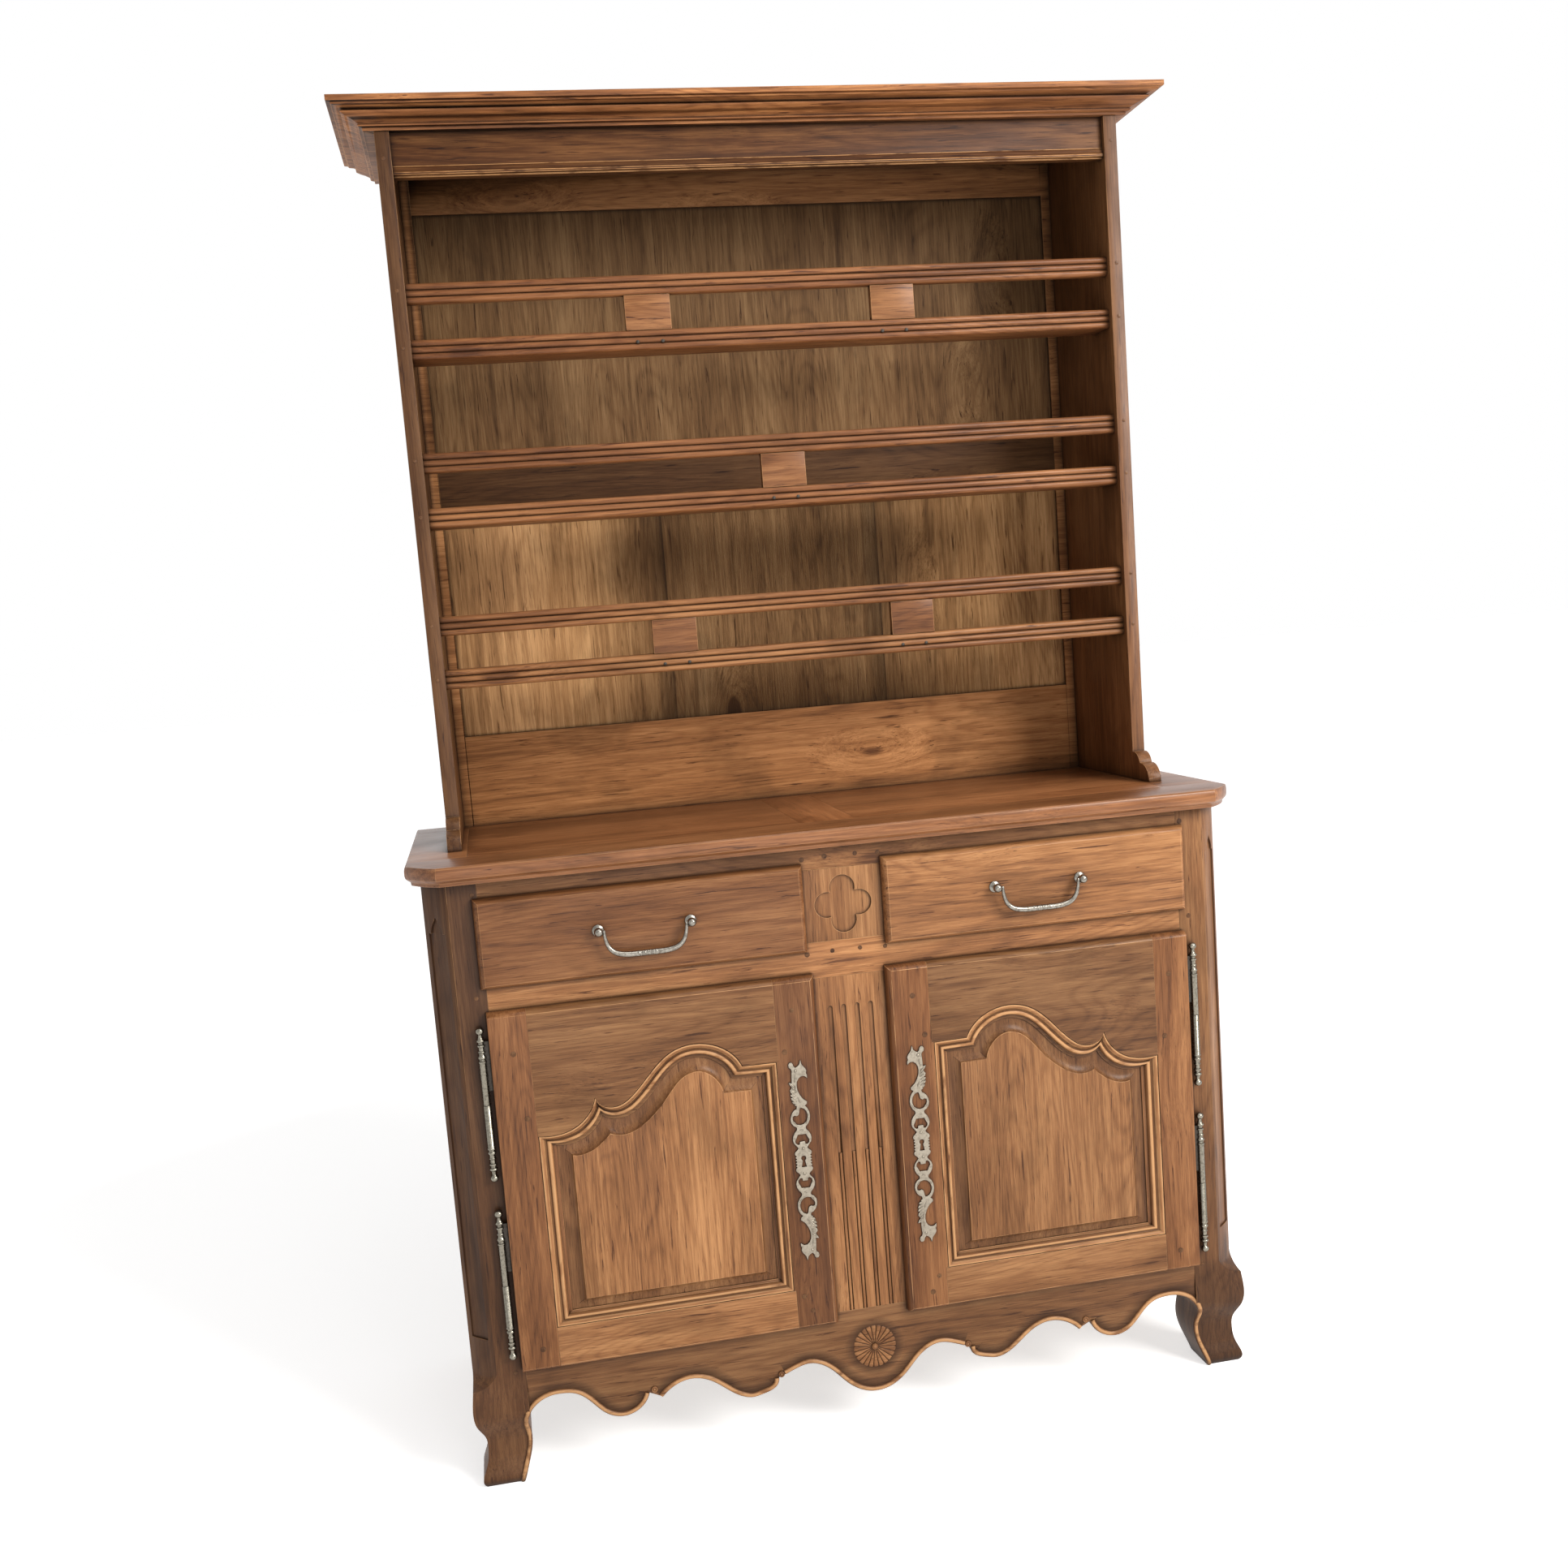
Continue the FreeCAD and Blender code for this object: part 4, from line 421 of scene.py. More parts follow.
PEWTER = MetalFinish("pewter_plates", (0.305, 0.267, 0.212), (0.06, 0.045, 0.03), 0.34, 300.0, tarnish_share=0.5)
IRON = MetalFinish("lock_iron", (0.06, 0.052, 0.045), (0.03, 0.024, 0.018), 0.55)

# The sides of the dresser, by the sign of their x
SIDES = {1: "right", -1: "left"}
# How light the pegs are, which show end grain
PEG_TONE = -0.9
# How light each board is, 0.5 being usual, or that at some heights in millimetres; the rest are left to chance
TONES = {
    # The left post is darkened partly as painted shade, its cant facing away from the key lamp
    "front_left_post": ((0, -1.1), (180, -1.1), (300, -1.35)),
    "front_right_post": ((0, -1.5), (160, -1.2), (260, -0.3)), "top_rail": 0.4, "middle_rail": 1.3, "apron": -0.45,
    "fluted_stile": 0.75, "drawer_divider": 0.3, "left_drawer_front": -0.4, "right_drawer_front": 0.8,
    "left_lock_stile": -0.7, "right_lock_stile": -0.35, "left_hinge_stile": -0.05, "right_hinge_stile": 0.0,
    "left_foot_rail": 0.65, "right_foot_rail": 0.2, "left_arched_rail": -0.35, "right_arched_rail": -0.55,
    # The left rack side is darkened partly as painted shade, as it faces away from the key lamp
    "left_door_panel": 0.75, "right_door_panel": 0.25, "rack_left_side": -1.1, "rack_right_side": -0.35,
    "frieze_board": -0.4, "cornice": 3.2, "upper_slat": -0.35, "upper_plate_rail": -0.3, "middle_slat": -0.2,
    "middle_plate_rail": -0.1, "lower_slat": 0.1, "lower_plate_rail": 0.0, "spacer_blocks": -0.35,
    # The back boards carry painted light low down and painted shade at the top under the cornice, over their own
    # tone
    "rack_back_boards": ((974, 1.35), (1250, 2.0), (1430, 2.1), (1560, 0.7), (1640, 0.0), (1850, -0.3),
                         (2062, -0.5)),
    # The back frame's middle rail is darkened partly by a painted shadow of the shelf, and its foot rail lightened
    # by painted light
    "rack_back_frame": ((974, 1.0), (1110, 0.85), (1400, 0.0), (1550, -0.45), (2062, 0.0)),
}
# How much redder than usual each board is; the rest aren't
WARMTHS = {
    "left_lock_stile": 0.45, "right_lock_stile": 0.45, "left_hinge_stile": 0.3, "right_hinge_stile": 0.3,
    "left_drawer_front": 0.35, "upper_slat": 0.6, "upper_plate_rail": 0.6, "middle_slat": 0.5,
    "middle_plate_rail": 0.45, "lower_slat": 0.2, "lower_plate_rail": 0.3, "spacer_blocks": 0.4,
    "rack_left_side": 0.2, "rack_right_side": 0.2, "rack_back_frame": 0.75, "top_frame": 0.4, "top_panels": 0.5,
    "top_muntin": 0.6, "front_left_post": 0.25, "front_right_post": 0.1, "frieze_board": 0.2,
}
# Which way the fibres of boards run that aren't cut along them
GRAINS = {
    "apron": Grain.ACROSS, "side_panels": Grain.UPRIGHT, "case_back_panel": Grain.ACROSS,
    "rack_back_boards": Grain.UPRIGHT, "drawer_divider": Grain.UPRIGHT, "left_door_panel": Grain.UPRIGHT,
    "right_door_panel": Grain.UPRIGHT,
}


def mesh_object(name: str, mesh: BMesh) -> Object:
    """Make an object of a bmesh, which is freed, and put it into the scene."""
    data = bpy.data.meshes.new(name)
    mesh.to_mesh(data)
    mesh.free()
    return put_in_scene(name, data)


def put_in_scene(name: str, data: object) -> Object:
    """Make an object of a mesh, a lamp or a camera, and put it into the scene."""
    item = bpy.data.objects.new(name, data)
    bpy.context.scene.collection.objects.link(item)
    return item


def round_edges(mesh: BMesh, edges: list[BMEdge], width: float) -> list[BMFace]:
    """Round some edges to a width, and give the new faces."""
    return bmesh.ops.bevel(mesh, geom=edges, affect="EDGES", offset=width, offset_type="OFFSET", segments=3,
                           profile=0.5, material=-1, clamp_overlap=True)["faces"]


def split_large_faces(mesh: BMesh) -> None:
    """Cut every face of more than four sides into triangles."""
    bmesh.ops.triangulate(mesh, faces=[face for face in mesh.faces if len(face.verts) > 4])


@dataclass
class Workshop:
    """Holds the frame, the finishes and the seeded chance that varies the boards.

    Boards vary in tone by variety, and their grain starts up to apart metres away from the next one's.
    """

    frame: dict
    seed: int = 7
    variety: float = 0.8
    apart: float = 9.0
    materials: dict[str, Material] = field(default_factory=dict)
    # Functions that give some nodes' vertices their painted shade
    worked: dict[str, Callable[[BMesh], dict[BMVert, float]]] = field(default_factory=dict)
    dice: random.Random = field(init=False)
    post_front: float = field(init=False)

    def __post_init__(self) -> None:
        """Make every finish once."""
        self.dice = random.Random(self.seed)
        self.post_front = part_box("top_rail")[0].y
        groups = EffectGroups()
        for finish in (*WOODS, SILVERED, NICKEL, PEWTER, IRON):
            self.materials[finish.name] = finish.material(groups)

    def slot_of(self, node: str) -> str:
        """Name the material slot that the record gives a CAD node."""
        return next(row["material_slot"] for row in self.frame["record"]["subparts"] if row["node"] == node)

    def body_of(self, node: str) -> str:
        """Name the body that carries a CAD node."""
        bodies = self.frame["record"]["behaviour"]["bodies"]
        return next(body for body, nodes in bodies.items() if node in nodes)

    def add(self, mesh: BMesh, name: str, body: str, slot: str, *replaced: str, smooth: float = 35.0) -> Object:
        """Turn a bmesh into a finished piece that rides on a body.

        Args:
            mesh: The shape, in the row frame; it is freed.
            name: The piece's name.
            body: The body that carries it.
            slot: The record's material slot.
            *replaced: CAD nodes that it stands for.
            smooth: Faces that meet at less than this angle, in degrees, shade as one.

        Returns:
            The new object.
        """
        piece = mesh_object(name, mesh)
        piece.data.shade_smooth()
        piece.data.set_sharp_from_angle(angle=math.radians(smooth))
        piece.data.materials.append(self.materials[slot])
        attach(piece, body)
        if replaced:
            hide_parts(*replaced)
        log.info("%s: %d faces on %s", name, len(piece.data.polygons), body)
        return piece

    def copy_of(self, node: str) -> BMesh:
        """Copy a CAD node's mesh, its loose triangles merged into whole faces."""
        mesh = bmesh.new()
        mesh.from_mesh(self.frame["nodes"][node].data)
        bmesh.ops.remove_doubles(mesh, verts=mesh.verts, dist=CAD_WELD)
        bmesh.ops.dissolve_limit(mesh, angle_limit=FLAT, verts=mesh.verts, edges=mesh.edges)
        return mesh

    def dress_plain_nodes(self) -> None:
        """Give their finish to the CAD nodes that still show."""
        for node, item in self.frame["nodes"].items():
            if not item.hide_render:
                item.data.materials.clear()
                item.data.materials.append(self.materials[self.slot_of(node)])

    def at(self, x: float, y: float, z: float) -> Vector:
        """Give the place of a point measured in millimetres, its depth from the posts' front plane."""
        return Vector((x * MM, y * MM + self.post_front, z * MM))

    def mark_boards(self, mesh: BMesh, grain: Grain, arris: set[BMVert] | None = None,
                    tone: float | tuple | None = None, warmth: float = 0.0,
                    grime: dict[BMVert, float] | None = None, one_board: bool = False) -> None:
        """Give every separate board in a bmesh its own grain coordinates and tone.

        Args:
            mesh: The shape to mark.
            grain: Which way the fibres run, or the longest way of each board.
            arris: Vertices on rounded edges, which wear first.
            tone: How light the boards are, 0.5 being usual, or that at some heights, or left to chance.
            warmth: How much redder than usual they are.
            grime: How dark the painted shade makes some vertices.
            one_board: Whether everything in the bmesh is cut from one board.
        """
        mesh.verts.index_update()
        # A new layer makes the vertices forget who they were, so they are kept by number
        rubbed = {vert.index for vert in arris or ()}
        shade_by_index = {vert.index: share for vert, share in (grime or {}).items()}
        grain_layer = mesh.verts.layers.float_vector.new("grain")
        # The last layer holds each vertex's painted shade
        tone_layer, warmth_layer, arris_layer, painted_shade_layer = (
            mesh.verts.layers.float.new(name) for name in ("board_tone", "board_warmth", "arris", "grime"))
        for board in [list(mesh.verts)] if one_board else islands(mesh):
            low, high = extent(board)
            sizes = high - low
            axis = max(range(3), key=lambda i: sizes[i]) if grain is Grain.LONGEST else "xyz".index(grain.value)
            order = [axis] + [i for i in range(3) if i != axis]
            shift = Vector([self.dice.uniform(-self.apart, self.apart) for _ in range(3)])
            chance = self.dice.random()
            vary = 0.0 if isinstance(tone, (int, float)) else self.variety * (chance - 0.5)
            for vert in board:
                vert[grain_layer] = Vector([vert.co[i] for i in order]) + shift
                vert[tone_layer] = chance if tone is None else at_height(tone, vert.co.z / MM) + vary
                vert[warmth_layer] = warmth
                vert[arris_layer] = 1.0 if vert.index in rubbed else 0.0
                vert[painted_shade_layer] = shade_by_index.get(vert.index, 0.0)


def at_height(tone: float | tuple, height: float) -> float:
    """Give a tone at a height.

    Args:
        tone: One tone, or pairs of height and tone from low to high.
        height: The height in millimetres.

    Returns:
        The tone there.
    """
    if isinstance(tone, (int, float)):
        return tone
    for (low, first), (high, last) in zip(tone, tone[1:]):
        if height <= high:
            return first + (last - first) * max(0.0, (height - low) / (high - low))
    return tone[-1][1]


def islands(mesh: BMesh) -> list[list[BMVert]]:
    """Split a bmesh into its separate solids.

    Args:
        mesh: The shape.

    Returns:
        The vertices of each solid.
    """
    found, seen = [], set()
    mesh.verts.ensure_lookup_table()
    for start in mesh.verts:
        if start in seen:
            continue
        seen.add(start)
        stack, board = [start], []
        while stack:
            vert = stack.pop()
            board.append(vert)
            for edge in vert.link_edges:
                other = edge.other_vert(vert)
                if other not in seen:
                    seen.add(other)
                    stack.append(other)
        found.append(board)
    return found


def lathe(mesh: BMesh, origin: Vector, axis: Vector, profile: list[Pair], steps: int = 24) -> None:
    """Turn a profile round an axis.

    Args:
        mesh: The bmesh to add to.
        origin: Where the axis starts.
        axis: Its direction.
        profile: Distance along the axis and radius of each point, in millimetres.
        steps: How many sides the turning has.
    """
    along = axis.normalized()
    out = along.orthogonal().normalized()
    verts = [mesh.verts.new(origin + along * far * MM + out * radius * MM) for far, radius in profile]
    edges = [mesh.edges.new(pair) for pair in zip(verts, verts[1:])]
    bmesh.ops.spin(mesh, geom=verts + edges, cent=origin, axis=along, angle=math.tau, steps=steps,
                   use_merge=True, dvec=(0, 0, 0))
    bmesh.ops.remove_doubles(mesh, verts=mesh.verts, dist=TURNED_WELD)


def skin(mesh: BMesh, rows: list[list[Vector]]) -> None:
    """Stretch a closed skin over a row of rings, and close both ends.

    Args:
        mesh: The bmesh to add to.
        rows: Rings of points, each of the same count.
    """
    rings = [[mesh.verts.new(point) for point in row] for row in rows]
    for near, far in zip(rings, rings[1:]):
        for index in range(len(near)):
            after = (index + 1) % len(near)
            mesh.faces.new((near[index], near[after], far[after], far[index]))
    mesh.faces.new(list(reversed(rings[0])))
    mesh.faces.new(rings[-1])


def tube(mesh: BMesh, line: list[Vector], radii: list[float], sides: int = 14) -> None:
    """Draw a round wire along a line.

    Args:
        mesh: The bmesh to add to.
        line: Points of the line.
        radii: The wire's radius at each point, in metres.
        sides: How many sides the wire has.
    """
    rows, side = [], None
    for index, point in enumerate(line):
        along = (line[min(index + 1, len(line) - 1)] - line[max(index - 1, 0)]).normalized()
        side = along.orthogonal() if side is None else side - along * side.dot(along)
        side = side.normalized()
        up = along.cross(side)
        angles = [math.tau * step / sides for step in range(sides)]
        rows.append([point + (side * math.cos(a) + up * math.sin(a)) * radii[index] for a in angles])
    skin(mesh, rows)


def smooth_line(points: list[Pair], steps: int = 6) -> list[Pair]:
    """Sample the smooth cubic curve through some points.

    Args:
        points: At least three points that the curve passes through.
        steps: Samples between two of them.

    Returns:
        The sampled points, both ends included.
    """
    given = [Vector((*point, 0.0)) for point in points]
    spans = [(b - a).length for a, b in zip(given, given[1:])]
    times = [sum(spans[:index]) for index in range(len(given))]

    def end_slope(order: list[int]) -> Vector:
        """Slope, at the first, of the polynomial through the points of the given indices."""
        start, slope = order[0], Vector((0.0, 0.0, 0.0))
        for one in order:
            weight = 0.0
            for other in order:
                if other != one:
                    share = 1.0 / (times[one] - times[other])
                    for third in order:
                        if third not in (one, other):
                            share *= (times[start] - times[third]) / (times[one] - times[third])
                    weight += share
            slope += given[one] * weight
        return slope

    last = len(given) - 1
    count = min(4, len(given))
    slopes = [end_slope(list(range(count)))]
    ratios = [0.0]
    final = end_slope([last - index for index in range(count)])
    for index in range(1, last):
        back, fore = 1.0 / spans[index - 1], 1.0 / spans[index]
        before, after = given[index] - given[index - 1], given[index + 1] - given[index]
        wanted = 3.0 * (before * back ** 2 + after * fore ** 2)
        if index == last - 1:
            wanted = wanted - final * fore
        pivot = 2.0 * (back + fore) - back * ratios[index - 1]
        ratios.append(fore / pivot)
        slopes.append((wanted - slopes[index - 1] * back) / pivot)
    slopes.append(final)
    for index in range(last - 2, 0, -1):
        slopes[index] = slopes[index] - slopes[index + 1] * ratios[index]
    made = []
    for index in range(last):
        for step in range(steps):
            u = step / steps
            bend = slopes[index] * (u ** 3 - 2 * u ** 2 + u) + slopes[index + 1] * (u ** 3 - u ** 2)
            place = (given[index] * (2 * u ** 3 - 3 * u ** 2 + 1) + given[index + 1] * (3 * u ** 2 - 2 * u ** 3)
                     + bend * spans[index])
            made.append((place.x, place.y))
    return made + [tuple(points[-1])]


def extent(verts: list[BMVert]) -> tuple[Vector, Vector]:
    """Give the lowest and highest corner of some vertices."""
    low = Vector([min(v.co[i] for v in verts) for i in range(3)])
    high = Vector([max(v.co[i] for v in verts) for i in range(3)])
    return low, high


@dataclass
class Joinery:
    """Every wooden CAD node, carried over with its arrises eased as a plane and sandpaper leave them."""

    shop: Workshop
    ease: float = 0.7 * MM
    rim_ease: float = 1.9 * MM
    rim_near: float = 0.3 * MM
    sharp_degrees: float = 28.0

    def rim(self, node: str) -> tuple[Vector, Vector] | None:
        """Give the box whose front edges hands and cloths have rounded most.

        Args:
            node: A wooden CAD node.

        Returns:
            The box's two corners, or nothing where the node has no such edges.
        """
        side, _, member = node.partition("_")
        if member in ("lock_stile", "hinge_stile", "arched_rail", "foot_rail"):
            boxes = [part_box("%s_%s" % (side, one)) for one in ("lock_stile", "hinge_stile", "arched_rail")]
        elif member == "drawer_front" or node.startswith("rack_") and member.endswith("_side"):
            boxes = [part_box(node)]
        else:
            return None
        return (Vector([min(low[i] for low, _ in boxes) for i in range(3)]),
                Vector([max(high[i] for _, high in boxes) for i in range(3)]))

    def on_rim(self, edge: BMEdge, rim: tuple[Vector, Vector] | None) -> bool:
        """Say whether an edge lies on the front edges of a box."""
        if rim is None:
            return False
        near = self.rim_near
        return all(vert.co.y < rim[0].y + near for vert in edge.verts) and any(
            all(abs(vert.co[axis] - side[axis]) < near for vert in edge.verts) for axis in (0, 2) for side in rim)

    def ease_node(self, node: str) -> None:
        """Copy a CAD node, round its sharp edges and stand the copy in its place."""
        mesh = self.shop.copy_of(node)
        eased = mesh.faces.layers.int.new("eased")
        rim = self.rim(node)
        for width, only_rim in ((self.rim_ease, True), (self.ease, False)):
            edges = [edge for edge in mesh.edges
                     if len(edge.link_faces) == 2 and edge.calc_face_angle() > math.radians(self.sharp_degrees)
                     and not any(face[eased] for face in edge.link_faces)
                     and (not only_rim or self.on_rim(edge, rim))]
            if edges:
                for face in round_edges(mesh, edges, width):
                    face[eased] = 1
        mesh.normal_update()
        # Vertices on rounded outside edges wear; those in rounded inside corners get painted shade
        arris, grime = set(), {}
        for vert in mesh.verts:
            if all(face[eased] for face in vert.link_faces):
                others = [edge.other_vert(vert).co for edge in vert.link_edges]
                around = sum(others, Vector()) / len(others)
                if (around - vert.co).dot(vert.normal) < 0:
                    arris.add(vert)
                else:
                    grime[vert] = 1.0
        # Some nodes add painted shade of their own
        worked = self.shop.worked.get(node)
        if worked:
            grime = {**worked(mesh), **grime}
        self.shop.mark_boards(mesh, GRAINS.get(node, Grain.LONGEST), arris, TONES.get(node),
                              WARMTHS.get(node, 0.0), grime, one_board=bool(worked))
        split_large_faces(mesh)
        self.shop.add(mesh, node + "_finished", self.shop.body_of(node), self.shop.slot_of(node), node)

    def build(self) -> None:
        """Carry over every wooden node."""
        for row in self.shop.frame["record"]["subparts"]:
            if row["material_slot"] in (wood.name for wood in WOODS):
                self.ease_node(row["node"])


def shade_depth(mesh: BMesh, share: float = 0.62, behind: float = 60.0,
                above: float = 200.0) -> dict[BMVert, float]:
    """Give the painted shade on a rack side behind its front edge, deeper in the rack.

    Args:
        mesh: The side's bmesh.
        share: The share of painted shade.
        behind: How far behind the front edge it starts, in millimetres.
        above: How far above the side's foot it starts, in millimetres.

    Returns:
        The share of painted shade on each of those vertices.
    """
    low, _ = extent(list(mesh.verts))
    return {vert: share for vert in mesh.verts
            if vert.co.y > low.y + behind * MM and vert.co.z > low.z + above * MM}


@dataclass
class DoorTrim:
    """The moulding worked round a door's arched panel, its pegs and its pierced lock plate.

    The outlines of the opening and the raised field are shares of width and rise, in runs of one curve each. The
    section is a way in from the opening and a depth, and each shaded band a low and a high depth with its share of
    painted shade. Everything is measured on the right-hand door, in millimetres.
    """

    shop: Workshop
    hand: int
    face: float = -16.3
    lock_side: float = 125.5
    hinge_side: float = 496.0
    foot: float = 249.0
    spring: float = 552.0
    rise: float = 113.0
    inset: float = 47.0
    foot_inset: float = 0.81
    opening: tuple = ((0, 0.602), (0.143, 0.611), ((0.197, 0.841), (0.338, 1), (0.432, 0.929), (0.522, 0.69),
                      (0.608, 0.398), (0.668, 0.283), (0.716, 0.292), (0.759, 0.434)),
                      ((0.789, 0.23), (0.849, 0.062), (0.924, -0.009), (1, 0)))
    raised: tuple = ((0.116, 0.248), (0.23, 0.265), ((0.254, 0.451), (0.327, 0.602), (0.386, 0.558), (0.446, 0.372),
                     (0.505, 0.15), (0.565, -0.018), (0.614, -0.106), (0.708, -0.097)),
                     ((0.738, -0.186), (0.776, -0.274), (0.819, -0.327), (0.868, -0.327)))
    section: tuple = ((0.0, 3.0), (0.0, 1.4), (0.8, 1.6), (1.3, 1.3), (1.35, 0.3), (2.4, 0.15), (4.2, 0.6),
                      (6.0, 1.7), (7.4, 3.1), (8.4, 4.6), (9.0, 5.1), (10.2, 5.5), (11.1, 5.3), (11.7, 4.3),
                      (13.0, 3.3), (14.8, 2.9), (16.6, 3.3), (17.8, 4.4), (18.5, 6.2), (19.0, 6.5), (19.3, 9.6),
                      (19.3, 11.0))
    # Bands of depth that get painted shade, each a low and a high depth with its share: the quirks and the hollow
    shaded_depths: tuple = ((1.25, 1.65, 0.95), (4.5, 5.2, 0.4), (5.25, 5.6, 0.85), (6.4, 12.0, 1.0))
    tone: float = 0.7
    crest: float = 0.5
    inner_bead: Pair = (2.7, 3.5)
    plate_centre: Pair = (95.0, 458.0)
    plate_thick: float = 2.0
    plate_flat: float = 0.05
    plate_sharp: float = 40.0
    plate_ease: float = 0.75
    stroke: Triple = (0.3, 0.95, 0.35)
    plate_nails: tuple = ((-2.9, 144.9), (0.5, 20.0))
    nail: tuple = ((-0.4, 2.5), (0.1, 2.4), (0.9, 1.7), (1.3, 0.8), (1.4, 0.0))
    peg_places: tuple = ((520, 683), (509, 582), (520, 218), (96, 698), (112, 634), (98, 213), (110, 238))
    members: tuple = (("lock_stile", Grain.UPRIGHT), ("arched_rail", Grain.ACROSS), ("hinge_stile", Grain.UPRIGHT),
                      ("foot_rail", Grain.ACROSS))

    @property
    def side(self) -> str:
        """Name the door's side."""
        return SIDES[self.hand]

    @property
    def body(self) -> str:
        """Name the door's body."""
        return self.side + "_door"

    def between(self, first: Pair, last: Pair, share: float) -> Pair:
        """Place a point between the opening's outline and the raised field's.

        Args:
            first: Shares of width and rise on the opening.
            last: Shares of width and rise on the field.
            share: How far it is from the first to the last.

        Returns:
            Its x and z in millimetres, on the right-hand door.
        """
        x, up = (a + (b - a) * share for a, b in zip(first, last))
        return self.lock_side + x * (self.hinge_side - self.lock_side), self.spring + up * self.rise

    def runs(self, share: float) -> dict[str, list[Pair]]:
        """Give the outline at one share, cut into the runs that the four members carry.

        Args:
            share: 0 on the opening's edge, 1 on the raised field's.

        Returns:
            The points of each member's run.
        """
        start = self.between(self.opening[0], self.raised[0], share)
        arch = [start, self.between(self.opening[1], self.raised[1], share)]
        for first, last in zip(self.opening[2:], self.raised[2:]):
            curve = [arch[-1]] + [self.between(a, b, share) for a, b in zip(first, last)]
            arch += smooth_line(curve)[1:]
        low = self.foot + self.inset * self.foot_inset * share
        corner_lock, corner_hinge = (start[0], low), (arch[-1][0], low)
        return {"lock_stile": [corner_lock, start], "arched_rail": arch, "hinge_stile": [arch[-1], corner_hinge],
                "foot_rail": [corner_hinge, corner_lock]}

    def point(self, flat: Pair, depth: float) -> Vector:
        """Place a point of this door at a depth below its face."""
        return self.shop.at(self.hand * flat[0], self.face + depth, flat[1])

    def sticking(self) -> None:
        """Lay the quirked ovolo and bead round the panel, mitred where two members meet."""
        rings = [self.runs(offset / self.inset) for offset, _ in self.section]
        for member, grain in self.members:
            mesh = bmesh.new()
            skin(mesh, [[self.point(ring[member][index], depth) for ring, (_, depth) in zip(rings, self.section)]
                        for index in range(len(rings[0][member]))])
            bmesh.ops.recalc_face_normals(mesh, faces=mesh.faces)
            depths = {vert: (vert.co.y - self.shop.at(0, self.face, 0).y) / MM for vert in mesh.verts}
            rubbed = {vert for vert, deep in depths.items()
                      if deep < self.crest or self.inner_bead[0] < deep < self.inner_bead[1]}
            # The quirks and the hollow get painted shade
            grime = {vert: share for vert, deep in depths.items()
                     for low, high, share in self.shaded_depths if low <= deep <= high}
            self.shop.mark_boards(mesh, grain, rubbed, tone=self.tone, grime=grime)
            self.shop.add(mesh, "%s_%s_sticking" % (self.side, member), self.body,
                          self.shop.slot_of(self.side + "_" + member), smooth=32.0)

    @staticmethod
    def shade_bevel(mesh: BMesh, share: float = 0.55, below: float = 1.2) -> dict[BMVert, float]:
        """Give the painted shade on the raised panel's bevel, which lies sunk behind the field.

        Args:
            mesh: The panel's bmesh.
            share: The share of painted shade.
            below: How far behind the raised field it starts, in millimetres.

        Returns:
            The share of painted shade on each vertex of the bevel.
        """
        front = min(vert.co.y for vert in mesh.verts)
        return {vert: share for vert in mesh.verts if vert.co.y > front + below * MM}

    def plate(self) -> None:
        """Round the lock plate's edges, and add its nails and its cut feathers."""
        node = self.side + "_escutcheon"
        mesh = self.shop.copy_of(node)
        front = min(vert.co.y for vert in mesh.verts)
        rim = [edge for edge in mesh.edges if edge.calc_face_angle(0.0) > math.radians(self.plate_sharp)
               and all(vert.co.y < front + self.plate_flat * MM for vert in edge.verts)]
        round_edges(mesh, rim, self.plate_ease * MM)
        split_large_faces(mesh)
        for half in (1, -1):
            for place in self.plate_nails:
                lathe(mesh, self.on_plate(place, half), FORWARDS, self.nail, steps=14)
            for stroke in self.feathers():
                near, far = (self.on_plate(place, half, self.plate_flat) for place in stroke)
                tube(mesh, [near, (near + far) / 2, far], [radius * MM for radius in self.stroke], sides=8)
        self.shop.add(mesh, node + "_finished", self.body, self.shop.slot_of(node), node, smooth=50.0)

    def on_plate(self, place: Pair, half: int, proud: float = 0.0) -> Vector:
        """Place a point on the lock plate's face.

        Args:
            place: Its x and height from the plate's centre.
            half: 1 on the upper half, -1 on the lower one, which is the upper one turned round.
            proud: How far it stands before the face.

        Returns:
            The point.
        """
        x, z = self.plate_centre
        return self.shop.at(self.hand * (x - half * place[0]), self.face - self.plate_thick - proud,
                            z + half * place[1])

    @staticmethod
    def feathers() -> list[tuple[Pair, Pair]]:
        """Give the strokes of the plate's feathered neck, from its ridge outwards, in its own millimetres."""
        strokes = [((-4.0 - 0.35 * step, 96.0 + 4.6 * step), (-10.5 - 0.1 * step, 98.6 + 5.2 * step))
                   for step in range(6)]
        return strokes + [((1.5, 93.0), (-2.5, 103.0)), ((-4.0, 110.0), (-5.4, 122.0)),
                          ((-5.8, 126.0), (-3.8, 138.0)), ((7.0, 60.0), (11.8, 66.0)),
                          ((-7.5, 60.0), (-12.2, 65.5)), ((-3.5, 50.0), (3.5, 50.0))]

    def pegs(self) -> None:
        """Drive the pegs of the four joints a little proud of the face."""
        mesh = bmesh.new()
        for place in self.peg_places:
            peg(mesh, self.point(place, 0), self.shop.dice)
        self.shop.mark_boards(mesh, Grain.DEEP, tone=PEG_TONE)
        self.shop.add(mesh, self.side + "_door_pegs", self.body, WAXED.name)

    def build(self) -> None:
        """Add everything that this door carries."""
        self.sticking()
        self.plate()
        self.pegs()


